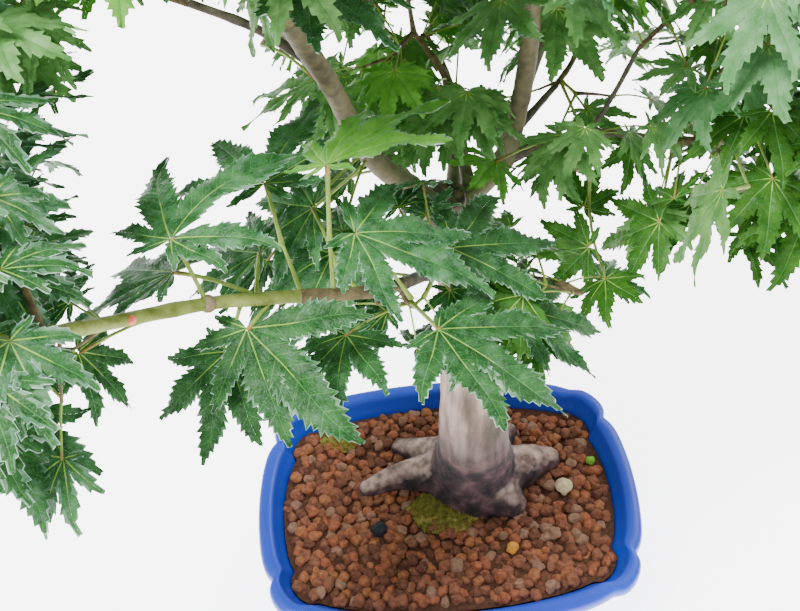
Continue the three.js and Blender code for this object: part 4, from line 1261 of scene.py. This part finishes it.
def draw_stem(batch, rule):
    """The stem of a mass, swollen at its nodes, and its further shoot and knobs where it has them."""
    count = STEM_STATIONS_PER_POINT * len(rule["stem"])
    nodes = np.maximum(0, np.cos(np.arange(count + 1) * TAU / STEM_STATIONS_PER_POINT)) ** 4
    radii = np.linspace(*rule["radii"], count + 1) * (1 + STEM_SWELL * nodes)
    points, faces = tube(catmull(rule["stem"], count), radii, STEM_SIDES)
    green = (np.arange(len(faces[0])) // STEM_SIDES / count) > rule["green_from"]
    batch.add(points, faces, [np.where(green, SHOOT, BARK), BARK])
    if "shoot" in rule:
        radii = np.linspace(*SHOOT_RADII, SHOOT_STATIONS + 1)
        batch.add(*tube(catmull(rule["shoot"], SHOOT_STATIONS), radii, SHOOT_SIDES), SHOOT)
    for knob in rule.get("knobs", []):
        points, faces = ball()
        batch.add(points * knob["radius"] + knob["at"], faces, BUD if knob["pink"] else NODE)


def draw_twig(batch, twig, chance):
    length = np.linalg.norm(twig["root"] - twig["foot"])
    steps = max(FEWEST_TWIG_STEPS, int(length / TWIG_STEP))
    first, last = STALK_RADII if twig["placed"] else twig["radii"]
    radii = np.linspace(first, last * TWIG_TAPER, steps + 1)
    radii[0] *= TWIG_ENDS[0]
    radii[-1] *= TWIG_ENDS[1]
    form = stalk(twig["foot"], twig["root"], radii, TWIG_SIDES, chance.uniform(*TWIG_BOW))
    batch.add(*form, STALK if twig["placed"] else BARK)


def draw_petiole(batch, leaf, chance):
    """The stalk of a leaf, swollen at both ends, that reaches a little under the leaf's heart."""
    heart = leaf["heart"] + leaf_frame(leaf)[0] * PETIOLE_OVERLAP
    start = np.array(leaf.get("stalk_from", leaf["root"])) + leaf["seat"]
    width = PETIOLE_WIDTH * leaf["size"] / PETIOLE_WIDTH_AT + PETIOLE_EXTRA[0 if leaf["placed"] else 1]
    radii = width * np.array(PETIOLE_SWELL)
    points, faces = stalk(start, heart, radii, PETIOLE_SIDES, chance.uniform(*PETIOLE_BOW))
    ring = np.arange(len(faces[0])) // PETIOLE_SIDES
    batch.add(points, faces, [np.where(ring < len(radii) - 2, STALK, JOINT), STALK])


def make_twigs(own, materials):
    """The twigs of a mass, and its leaf stalks, in one piece."""
    chance = random.Random(TWIG_SEED + own["number"])
    batch = Batch()
    draw_stem(batch, own["mass"])
    for twig in own["twigs"]:
        draw_twig(batch, twig, chance)
    for leaf in own["leaves"]:
        draw_petiole(batch, leaf, chance)
    piece = batch.build("twigs_" + own["name"], materials)
    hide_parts("foliage_" + own["name"])
    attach(piece, "root")


# Materials

def plain(name, roughness, colour=(0.8, 0.8, 0.8)):
    material = bpy.data.materials.new(name)
    material.use_nodes = True
    shader = material.node_tree.nodes["Principled BSDF"]
    shader.inputs["Base Color"].default_value = (*colour, 1)
    shader.inputs["Roughness"].default_value = roughness
    return material, material.node_tree, shader


def set_sockets(node, values):
    for name, value in values.items():
        node.inputs[name].default_value = value


def ramp_of(tree, factor, *stops):
    """A ramp of colours: pairs of place and colour."""
    ramp = tree.nodes.new("ShaderNodeValToRGB")
    elements = ramp.color_ramp.elements
    while len(elements) < len(stops):
        elements.new(0.5)
    for element, (place, colour) in zip(elements, stops):
        element.position = place
        element.color = (*colour, 1)
    tree.links.new(factor, ramp.inputs["Fac"])
    return ramp.outputs["Color"]


def mask_of(tree, factor, *stops):
    """A ramp of greys: pairs of place and weight."""
    return ramp_of(tree, factor, *[(place, (weight, weight, weight)) for place, weight in stops])


def noise_of(tree, scale, detail=4, stretch=(1, 1, 1)):
    coordinates = tree.nodes.new("ShaderNodeTexCoord")
    mapping = tree.nodes.new("ShaderNodeMapping")
    texture = tree.nodes.new("ShaderNodeTexNoise")
    set_sockets(mapping, {"Scale": stretch})
    set_sockets(texture, {"Scale": scale, "Detail": detail})
    tree.links.new(coordinates.outputs["Object"], mapping.inputs["Vector"])
    tree.links.new(mapping.outputs["Vector"], texture.inputs["Vector"])
    return texture.outputs["Fac"]


def bump_of(tree, shader, height, strength, distance):
    bump = tree.nodes.new("ShaderNodeBump")
    set_sockets(bump, {"Strength": strength, "Distance": distance})
    tree.links.new(height, bump.inputs["Height"])
    tree.links.new(bump.outputs["Normal"], shader.inputs["Normal"])


def net_of(tree, scale):
    """A net of cells: the distance from each cell's edge."""
    net = tree.nodes.new("ShaderNodeTexVoronoi")
    net.feature = "DISTANCE_TO_EDGE"
    set_sockets(net, {"Scale": scale})
    tree.links.new(tree.nodes.new("ShaderNodeTexCoord").outputs["Object"], net.inputs["Vector"])
    return net.outputs["Distance"]


def mix_of(tree, factor, first, second):
    mix = tree.nodes.new("ShaderNodeMix")
    mix.data_type = "RGBA"
    tree.links.new(factor, mix.inputs["Factor"])
    for value, socket in ((first, mix.inputs["A"]), (second, mix.inputs["B"])):
        if isinstance(value, tuple):
            socket.default_value = (*value, 1)
        else:
            tree.links.new(value, socket)
    return mix.outputs["Result"]


def level_of(tree, source, low, high):
    """A share that goes from 0 to 1 as the source's height goes from low to high."""
    split = tree.nodes.new("ShaderNodeSeparateXYZ")
    tree.links.new(source, split.inputs["Vector"])
    level = tree.nodes.new("ShaderNodeMapRange")
    set_sockets(level, {"From Min": low, "From Max": high})
    tree.links.new(split.outputs["Z"], level.inputs["Value"])
    return level.outputs["Result"]


def leaf_material(name, dark, light, roughness=0.42, frost=0):
    """Mottled green with pale specks, which are partly waxy bloom and partly painted sheen. With a weight
    of frost it has a net of fine veins as well, and patches and flecks of pale bloom with painted sheen."""
    material, tree, shader = plain(name, roughness, dark)
    tone = ramp_of(tree, noise_of(tree, scale=170, detail=6), (0.37, dark), (0.66, light))
    # Pale specks: partly waxy bloom, partly painted sheen glinting on the blade
    specks = mask_of(tree, noise_of(tree, scale=1900, detail=3), (0.6, 0), (0.78, 1))
    speck_sheen_tone = tuple(SPECK_SHEEN_MIX[0] * own + SPECK_SHEEN_MIX[1] * pale for own, pale in zip(light, SPECK_SHEEN_TONE))
    tone = mix_of(tree, specks, tone, speck_sheen_tone)
    if frost:
        net = net_of(tree, scale=760)
        lines = mask_of(tree, net, (0.02, 0.16), (0.14, 0))
        tone = mix_of(tree, lines, tone, tuple(NET_LIGHT * part for part in light))
        # Patches and flecks of pale bloom, partly painted sheen
        bloom_sheen_patches = mask_of(tree, noise_of(tree, scale=300, detail=8), (0.5, 0), (0.74, frost))
        tone = mix_of(tree, bloom_sheen_patches, tone, BLOOM_SHEEN_TONE)
        sheen_flecks = mask_of(tree, noise_of(tree, scale=1400, detail=6), (0.62, 0), (0.74, 0.36))
        tone = mix_of(tree, sheen_flecks, tone, BLOOM_SHEEN_TONE)
        bump_of(tree, shader, mask_of(tree, net, (0, 0), (0.3, 1)), strength=0.3, distance=0.0003)
    else:
        bump_of(tree, shader, noise_of(tree, scale=260, detail=3), strength=0.55, distance=0.0016)
    tree.links.new(tone, shader.inputs["Base Color"])
    set_sockets(shader, LEAF_GLOSS)
    return material


def stone_material(name, dark, light, scale=500):
    material, tree, shader = plain(name, 0.92, dark)
    tone = ramp_of(tree, noise_of(tree, scale), (0.3, dark), (0.7, light))
    tree.links.new(tone, shader.inputs["Base Color"])
    bump_of(tree, shader, noise_of(tree, scale=1800, detail=3), strength=0.5, distance=0.0005)
    set_sockets(shader, STONE_GLOSS)
    return material


def glaze_material():
    material, tree, shader = plain("blue_glaze", 0.45, (0.03, 0.09, 0.55))
    clouds = noise_of(tree, scale=22, detail=3)
    tone = ramp_of(tree, clouds, (0.3, (0.006, 0.034, 0.40)), (0.7, (0.012, 0.054, 0.50)))
    specks = mask_of(tree, noise_of(tree, scale=420, detail=4), (0.62, 0), (0.74, 1))
    tree.links.new(mix_of(tree, specks, tone, (0.02, 0.05, 0.36)), shader.inputs["Base Color"])
    bump_of(tree, shader, noise_of(tree, scale=60, detail=3), strength=0.12, distance=0.002)
    set_sockets(shader, GLAZE_GLOSS)
    return material


def trunk_material():
    """Pale bark, purplish and dark round the root flare, where the blackest patches are painted shade and
    the roots' upward-facing tops are pale as a painted highlight, and dark and rough towards the fork.
    """
    material, tree, shader = plain("trunk_bark", 0.8)
    place = tree.nodes.new("ShaderNodeTexCoord").outputs["Object"]
    facing = tree.nodes.new("ShaderNodeNewGeometry").outputs["Normal"]
    pale = ramp_of(
        tree, noise_of(tree, scale=95, detail=6, stretch=(1, 1, 0.2)),
        (0.34, (0.060, 0.044, 0.024)), (0.45, (0.15, 0.105, 0.080)),
        (0.53, (0.29, 0.205, 0.172)), (0.68, (0.47, 0.365, 0.325)),
    )
    # Painted shade: round the root flare the purplish-brown bark goes nearly black in a noise pattern,
    # standing in for the shade in its crevices and crotches
    foot = ramp_of(
        tree, noise_of(tree, scale=120, detail=6), (0.38, (0.008, 0.005, 0.006)),
        (0.52, (0.040, 0.021, 0.023)), (0.70, (0.125, 0.066, 0.064)),
    )
    crown = ramp_of(
        tree, noise_of(tree, scale=240, detail=6),
        (0.36, (0.022, 0.015, 0.010)), (0.64, (0.17, 0.115, 0.085)),
    )
    # Painted highlight: the upward-facing tops of the roots are pale, over their pinkish-brown bark
    lit_root_tops = ramp_of(
        tree, noise_of(tree, scale=160, detail=5),
        (0.35, (0.110, 0.066, 0.054)), (0.66, (0.44, 0.31, 0.262)),
    )
    # Painted light: the mix by facing puts the pale tones on the roots' upper sides
    low = mix_of(tree, level_of(tree, facing, low=0.45, high=0.85), foot, lit_root_tops)
    body = mix_of(tree, level_of(tree, place, low=0.092, high=0.142), low, pale)
    tone = mix_of(tree, level_of(tree, place, low=0.20, high=0.245), body, crown)
    tree.links.new(tone, shader.inputs["Base Color"])
    grain_lines = noise_of(tree, scale=480, detail=6, stretch=(1, 1, 0.4))
    bump_of(tree, shader, grain_lines, strength=0.7, distance=0.0009)
    return material


def bough_material(name, lower, upper):
    """Bark whose upper side is more olive than its lower side, and lighter as painted light, while the
    lower side is darker as painted shade.
    """
    material, tree, shader = plain(name, 0.72)
    facing = tree.nodes.new("ShaderNodeNewGeometry").outputs["Normal"]
    brown = ramp_of(tree, noise_of(tree, scale=260, detail=6), (0.34, lower[0]), (0.6, lower[1]))
    olive = ramp_of(tree, noise_of(tree, scale=190, detail=6), (0.36, upper[0]), (0.62, upper[1]))
    # Painted light and shade: the mix by facing makes the upper side lighter and the underside darker
    tone = mix_of(tree, level_of(tree, facing, low=-0.1, high=0.75), brown, olive)
    tree.links.new(tone, shader.inputs["Base Color"])
    bump_of(tree, shader, noise_of(tree, scale=700, detail=5), strength=0.4, distance=0.0005)
    return material


# Pot

def quarter_outline(inset, notch):
    half_length, half_width = POT_HALF_LENGTH - inset, POT_HALF_WIDTH - inset
    end_run = half_width - (CORNER_WIDTH - inset * CORNER_TAPER)
    side_run = half_length - (CORNER_LENGTH - inset * CORNER_TAPER)
    t = 1 - (1 - np.linspace(0, 1, OUTLINE_POINTS)) ** OUTLINE_CROWDING
    dent = notch * NOTCH_DEPTH * t ** NOTCH_SHARPNESS
    end = np.stack([half_length - END_BOW * t * t - dent, end_run * t], axis=1)
    side = np.stack([side_run * t, half_width - SIDE_BOW * t * t - dent], axis=1)[::-1]
    chord = side[0] - end[-1]
    outward = unit(np.array([chord[1], -chord[0]]))
    t = np.linspace(0, 1, OUTLINE_POINTS)[1:-1, None]
    corner = end[-1] + chord * t + outward * CORNER_BULGE * np.sqrt(1 - (2 * t - 1) ** 2)
    return np.vstack([end, corner, side[:-1]])


def pot_outline(inset, notch):
    """The pot's outline, with rounded corners and a share of the notches beside them."""
    quarter = quarter_outline(inset, notch)
    top = np.array([[0, POT_HALF_WIDTH - inset]])
    half = np.vstack([quarter, top, quarter[:0:-1] * [-1, 1], [[-quarter[0][0], 0]]])
    ring = np.vstack([half, half[-2:0:-1] * [1, -1]])
    for _ in range(OUTLINE_SMOOTHING):
        ring = ring / 2 + (np.roll(ring, 1, axis=0) + np.roll(ring, -1, axis=0)) / 4
    return ring


def make_pot(material):
    batch = Batch()
    rings = []
    for inset, height, notch in POT_PROFILE:
        outline = pot_outline(inset, notch)
        rings.append(np.column_stack([outline, np.full(len(outline), height)]))
    sides = len(rings[0])
    points = np.vstack([*rings, [[0, 0, POT_PROFILE[0][1]]]])
    ring = np.arange(sides)
    floor = np.stack([(ring + 1) % sides, ring, np.full(sides, len(points) - 1)], axis=1)
    batch.add(points, [grid_quads(len(rings), sides, wrap=True), floor])
    shares = [share for share, height in FOOT_PROFILE]
    foot, faces = tube([[0, 0, height] for share, height in FOOT_PROFILE], shares, FOOT_SIDES)
    foot = foot * [FOOT_LENGTH / 2, FOOT_WIDTH / 2, 1]
    for x in (-1, 1):
        for y in (-1, 1):
            batch.add(foot + [x * FOOT_AT[0], y * FOOT_AT[1], 0], faces)
    piece = batch.build("glazed_pot", [material])
    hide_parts("pot")
    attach(piece, "root")


# Soil and moss

def grain(form, radius, chance):
    """A worn lump of baked clay."""
    points, faces = form
    offset = Vector([chance.uniform(0, GRAIN_LUMPS["offset"]) for _ in range(3)])
    lumps = np.array([noise.noise(Vector(point) * GRAIN_LUMPS["scale"] + offset) for point in points])
    stretch = np.array([chance.uniform(*limits) for limits in GRAIN_STRETCH])
    turn = chance.uniform(0, TAU)
    lump = points * (1 + GRAIN_LUMPS["height"] * lumps)[:, None] * stretch * radius
    c, s = math.cos(turn), math.sin(turn)
    spun = np.column_stack([lump[:, 0] * c - lump[:, 1] * s, lump[:, 0] * s + lump[:, 1] * c, lump[:, 2]])
    return spun, faces


def inside_outline(outline, x, y):
    """True where a point lies inside a closed ring."""
    ahead = np.roll(outline, -1, axis=0)
    crosses = (outline[:, 1] > y) != (ahead[:, 1] > y)
    rise = np.where(ahead[:, 1] == outline[:, 1], 1, ahead[:, 1] - outline[:, 1])
    at = outline[:, 0] + (y - outline[:, 1]) * (ahead[:, 0] - outline[:, 0]) / rise
    return bool((crosses & (x < at)).sum() % 2)


def near_pebble(spot):
    return any(math.dist(spot, pebble["at"]) < pebble["radius"] + PEBBLE_CLEARANCE for pebble in PEBBLES)


def make_grains(materials):
    chance = random.Random(GRAIN_SEED)
    form = ball()
    plot = pot_outline(**SOIL_EDGE)
    batch = Batch()
    row = 0
    y = -POT_HALF_WIDTH
    while y < POT_HALF_WIDTH:
        x = -POT_HALF_LENGTH + (row % 2) * GRAIN_SPACING / 2
        while x < POT_HALF_LENGTH:
            spot = [place + chance.uniform(-GRAIN_JITTER, GRAIN_JITTER) for place in (x, y)]
            radius = chance.triangular(*GRAIN_RADIUS)
            tint = chance.choice(GRAIN_TINTS)
            height = SOIL_TOP + chance.uniform(*GRAIN_RISE)
            if inside_outline(plot, *spot) and not near_pebble(spot):
                points, faces = grain(form, radius, chance)
                batch.add(points + [*spot, height], faces, tint)
            x += GRAIN_SPACING
        y += GRAIN_SPACING * GRAIN_ROW_STEP
        row += 1
    for pebble in PEBBLES:
        points, faces = grain(form, pebble["radius"], chance)
        batch.add(points + [*pebble["at"], SOIL_TOP + PEBBLE_RISE], faces, pebble["tint"])
    piece = batch.build("soil_grains", materials)
    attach(piece, "root")


def make_moss(mound, material):
    """A cushion of short pointed shoots over a low mound."""
    chance = random.Random(mound["seed"])
    size = np.array(mound["size"])
    middle = np.array([*mound["at"], SOIL_TOP + MOUND_RISE])
    batch = Batch()
    points, faces = ball()
    dome = points[:, 2] > MOUND_LOWEST
    lumpy = np.array([1 + waves_at(point, [MOUND_LUMPS]) for point in points])
    shell = points * lumpy[:, None] * size * MOUND_SHARE
    batch.add(shell + middle, faces[dome[faces].all(axis=1)])
    for _ in range(int(MOSS_SHOOTS * mound["size"][0] * mound["size"][1])):
        turn, out = chance.uniform(0, TAU), math.sqrt(chance.random())
        rise = math.sqrt(max(MOSS_FLATTEST, 1 - out * out))
        direction = np.array([out * math.cos(turn), out * math.sin(turn), rise])
        foot = middle + direction * size * MOUND_SHARE
        lean = [chance.gauss(0, MOSS_SHOOT_LEAN), chance.gauss(0, MOSS_SHOOT_LEAN), MOSS_SHOOT_RISE]
        up = unit(np.array(lean))
        tip = foot + up * chance.uniform(*MOSS_SHOOT_LENGTH)
        side = unit(np.cross(lean, MOSS_ACROSS)) * chance.uniform(*MOSS_SHOOT_WIDTH)
        other = np.cross(up, side)
        corners = np.array([foot + side, foot - side / 2 + other, foot - side / 2 - other, tip])
        batch.add(corners, np.array([[0, 1, 3], [1, 2, 3], [2, 0, 3]]))
    piece = batch.build(mound["name"] + "_tufts", [material])
    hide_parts(mound["name"])
    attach(piece, "root")


# Trunk and boughs

def remeshed(batch, name, material, relief):
    """Joins overlapping limbs into one skin, and moves its points by a relief in millimetres."""
    rough = batch.build(name, [material])
    remesh = rough.modifiers.new("skin", "REMESH")
    remesh.mode = "VOXEL"
    remesh.voxel_size = SKIN_VOXEL * MM
    smooth = rough.modifiers.new("soft", "SMOOTH")
    smooth.factor = SKIN_SOFTNESS
    smooth.iterations = SKIN_SMOOTHING
    skin = bpy.data.meshes.new_from_object(rough.evaluated_get(bpy.context.evaluated_depsgraph_get()))
    bpy.data.objects.remove(rough)
    count = len(skin.vertices)
    points, normals = np.zeros(count * 3), np.zeros(count * 3)
    skin.vertices.foreach_get("co", points)
    skin.vertices.foreach_get("normal", normals)
    points = points.reshape(-1, 3) / MM - SHIFT
    push = np.array([relief(Vector(point)) for point in points])
    points = points + normals.reshape(-1, 3) * push[:, None]
    skin.vertices.foreach_set("co", ((points + SHIFT) * MM).ravel())
    skin.name = name
    skin.materials.clear()
    skin.materials.append(material)
    skin.polygons.foreach_set("use_smooth", np.ones(len(skin.polygons), bool))
    skin.update()
    return put_in_scene(name, skin)


def smooth_step(low, high, value):
    share = min(1, max(0, (value - low) / (high - low)))
    return share * share * (3 - 2 * share)


def trunk_relief(point):
    """How far the bark stands out: lumps, streaks along the trunk, knobs near the fork and grain."""
    rough = smooth_step(*ROUGH_BARK, point.z)
    across, along = TRUNK_STREAKS["across"], TRUNK_STREAKS["along"]
    stretched = Vector((point.x * across, point.y * across, point.z * along))
    streaks = TRUNK_STREAKS["height"] * noise.noise(stretched)
    knobs = TRUNK_KNOBS["height"] * rough * noise.noise(point * TRUNK_KNOBS["scale"])
    return waves_at(point, [TRUNK_LUMPS]) + streaks + knobs + waves_at(point, [TRUNK_GRAIN])


def make_trunk(material):
    batch = Batch()
    limbs = [(TRUNK, TRUNK_STATIONS, TRUNK_SIDES, 0)]
    limbs += [(root, ROOT_STATIONS, ROOT_SIDES, ROOT_END_TAPER) for root in ROOTS]
    for limb, stations, sides, taper in limbs:
        shares = [i / stations for i in range(stations + 1)]
        radii = [radius_at(limb["radii"], share) * (1 - taper * share ** 3) for share in shares]
        batch.add(*tube(catmull(limb["points"], stations), radii, sides))
    piece = remeshed(batch, "trunk_bark", material, trunk_relief)
    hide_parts("trunk")
    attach(piece, "root")


def line_length(points):
    return np.linalg.norm(np.diff(np.array(points, float), axis=0), axis=1).sum()


def bough_radii(rule, stations, chance):
    """Radii along a bough: its taper, its swollen nodes, and a slight unevenness."""
    share = np.linspace(0, 1, stations)
    radii = np.array([radius_at(rule["radii"], s) for s in share]) * rule["drawn_share"]
    length = line_length(rule["points"])
    place = between(FIRST_NODE, chance.random())
    while place < 1:
        radii = radii * (1 + NODE_SWELL * np.exp(-((share - place) * length / NODE_LENGTH) ** 2))
        place += chance.uniform(*NODE_EVERY) / length
    phase = chance.random() * TAU
    return radii * (1 + BOUGH_WAVE["height"] * np.sin(share * BOUGH_WAVE["radians"] + phase))


def make_boughs(pale, dark):
    for number, rule in enumerate(BOUGHS):
        chance = random.Random(BOUGH_SEED + number)
        stations = int(line_length(rule["points"]) / BOUGH_STEP)
        path = catmull(rule["points"], stations - 1)
        points, faces = tube(path, bough_radii(rule, stations, chance), BOUGH_SIDES)
        outward = points[:-2] - np.repeat(path, BOUGH_SIDES, axis=0)
        push = np.array([waves_at(point, BARK_WAVES) for point in points[:-2]])
        points[:-2] += outward * push[:, None]
        batch = Batch()
        batch.add(points, faces)
        name = "bough_" + rule["name"]
        piece = batch.build(name + "_bark", [pale if rule["name"] in PALE_BOUGHS else dark])
        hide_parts(name)
        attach(piece, "root")


# Stage

def make_stage():
    material, tree, shader = plain("pale_floor", 0.9, (0.93, 0.93, 0.93))
    tone = mask_of(tree, noise_of(tree, scale=3), (0.3, 0.92), (0.7, 0.94))
    tree.links.new(tone, shader.inputs["Base Color"])
    set_sockets(shader, FLOOR_GLOW)
    mesh = bpy.data.meshes.new("floor")
    corners = [(x * FLOOR_HALF, y * FLOOR_HALF, 0) for x, y in ((-1, -1), (1, -1), (1, 1), (-1, 1))]
    mesh.from_pydata(corners, [], [(0, 1, 2, 3)])
    mesh.materials.append(material)
    floor = put_in_scene("floor", mesh)


def area_light(name, at, towards, size, power):
    data = bpy.data.lights.new(name, "AREA")
    data.shape = "DISK"
    data.size = size
    data.energy = power
    light = put_in_scene(name, data)
    light.location = at
    light.rotation_euler = (Vector(towards) - Vector(at)).to_track_quat("-Z", "Y").to_euler()


def make_lights():
    world = bpy.data.worlds.new("studio")
    world.use_nodes = True
    set_sockets(world.node_tree.nodes["Background"], WORLD_LIGHT)
    bpy.context.scene.world = world
    area_light("key", at=(-0.55, -0.45, 1.6), towards=(0, 0, 0.3), size=0.55, power=44)
    area_light("rim", at=(0.9, 0.9, 1.3), towards=(0, 0, 0.25), size=0.8, power=20)


def make_camera():
    data = bpy.data.cameras.new("camera")
    data.sensor_width = SENSOR_WIDTH
    data.lens = SENSOR_WIDTH * VIEW["focal"] / VIEW["width"]
    camera = put_in_scene("camera", data)
    turn = Matrix([list(VIEW_RIGHT), list(VIEW_ABOVE), list(-VIEW_AHEAD)]).transposed().to_4x4()
    turn.translation = Vector((np.array(VIEW["eye"], float) + SHIFT) * MM)
    camera.matrix_world = turn
    bpy.context.scene.camera = camera


make_camera()
make_stage()
make_lights()
make_pot(glaze_material())

SOIL = stone_material("soil_bed", (0.03, 0.012, 0.007), (0.09, 0.035, 0.018))
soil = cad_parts["soil"]
soil.data.materials.clear()
soil.data.materials.append(SOIL)
make_grains([stone_material(name, *tones) for name, tones in GRAIN_TONES.items()])
MOSS = stone_material("moss_green", (0.100, 0.104, 0.016), (0.36, 0.305, 0.070), scale=420)
for mound in MOSS_MOUNDS:
    make_moss(mound, MOSS)

make_trunk(trunk_material())
make_boughs(
    bough_material("bough_pale", BOUGH_TONES["pale_shaded_under"], BOUGH_TONES["pale_lit_top"]),
    bough_material("bough_dark", BOUGH_TONES["dark_shaded_under"], BOUGH_TONES["dark_lit_top"]),
)

# In the order of the tints, then of the numbers from VEIN_BRIGHT to MARGIN_SOFT_SHEEN
LEAF_MATERIALS = [
    leaf_material("leaf_" + name, *tones, frost=BLOOM_SHEEN_TINTS.get(name, 0)) for name, tones in TINTS.items()
]
LEAF_MATERIALS += [
    leaf_material("vein_bright", (0.20, 0.38, 0.05), (0.34, 0.51, 0.10)),
    leaf_material("vein_soft", (0.055, 0.20, 0.040), (0.12, 0.28, 0.085)),
    # Pale margin hairs with painted sheen, and a softer band of painted sheen beside them
    leaf_material("margin_hairs_sheen", (0.20, 0.36, 0.25), (0.48, 0.62, 0.52), roughness=0.6),
    leaf_material("margin_soft_sheen", (0.045, 0.15, 0.060), (0.17, 0.31, 0.19), roughness=0.55),
]
# In the order of the numbers from BARK to NODE
TWIG_MATERIALS = [
    stone_material("twig_bark", (0.06, 0.04, 0.02), (0.16, 0.13, 0.06), scale=300),
    leaf_material("leaf_stalk", (0.15, 0.23, 0.03), (0.27, 0.36, 0.07), roughness=0.45),
    leaf_material("stalk_joint", (0.23, 0.16, 0.045), (0.34, 0.24, 0.075), roughness=0.45),
    leaf_material("green_shoot", (0.11, 0.145, 0.024), (0.25, 0.30, 0.070), roughness=0.5),
    leaf_material("pink_bud", (0.70, 0.070, 0.045), (0.85, 0.19, 0.13), roughness=0.4),
    stone_material("shoot_node", (0.12, 0.085, 0.045), (0.26, 0.21, 0.12), scale=300),
]
grove = Grove()
grove.grow()
for own in grove.masses:
    make_leaves(own, LEAF_MATERIALS)
    make_twigs(own, TWIG_MATERIALS)
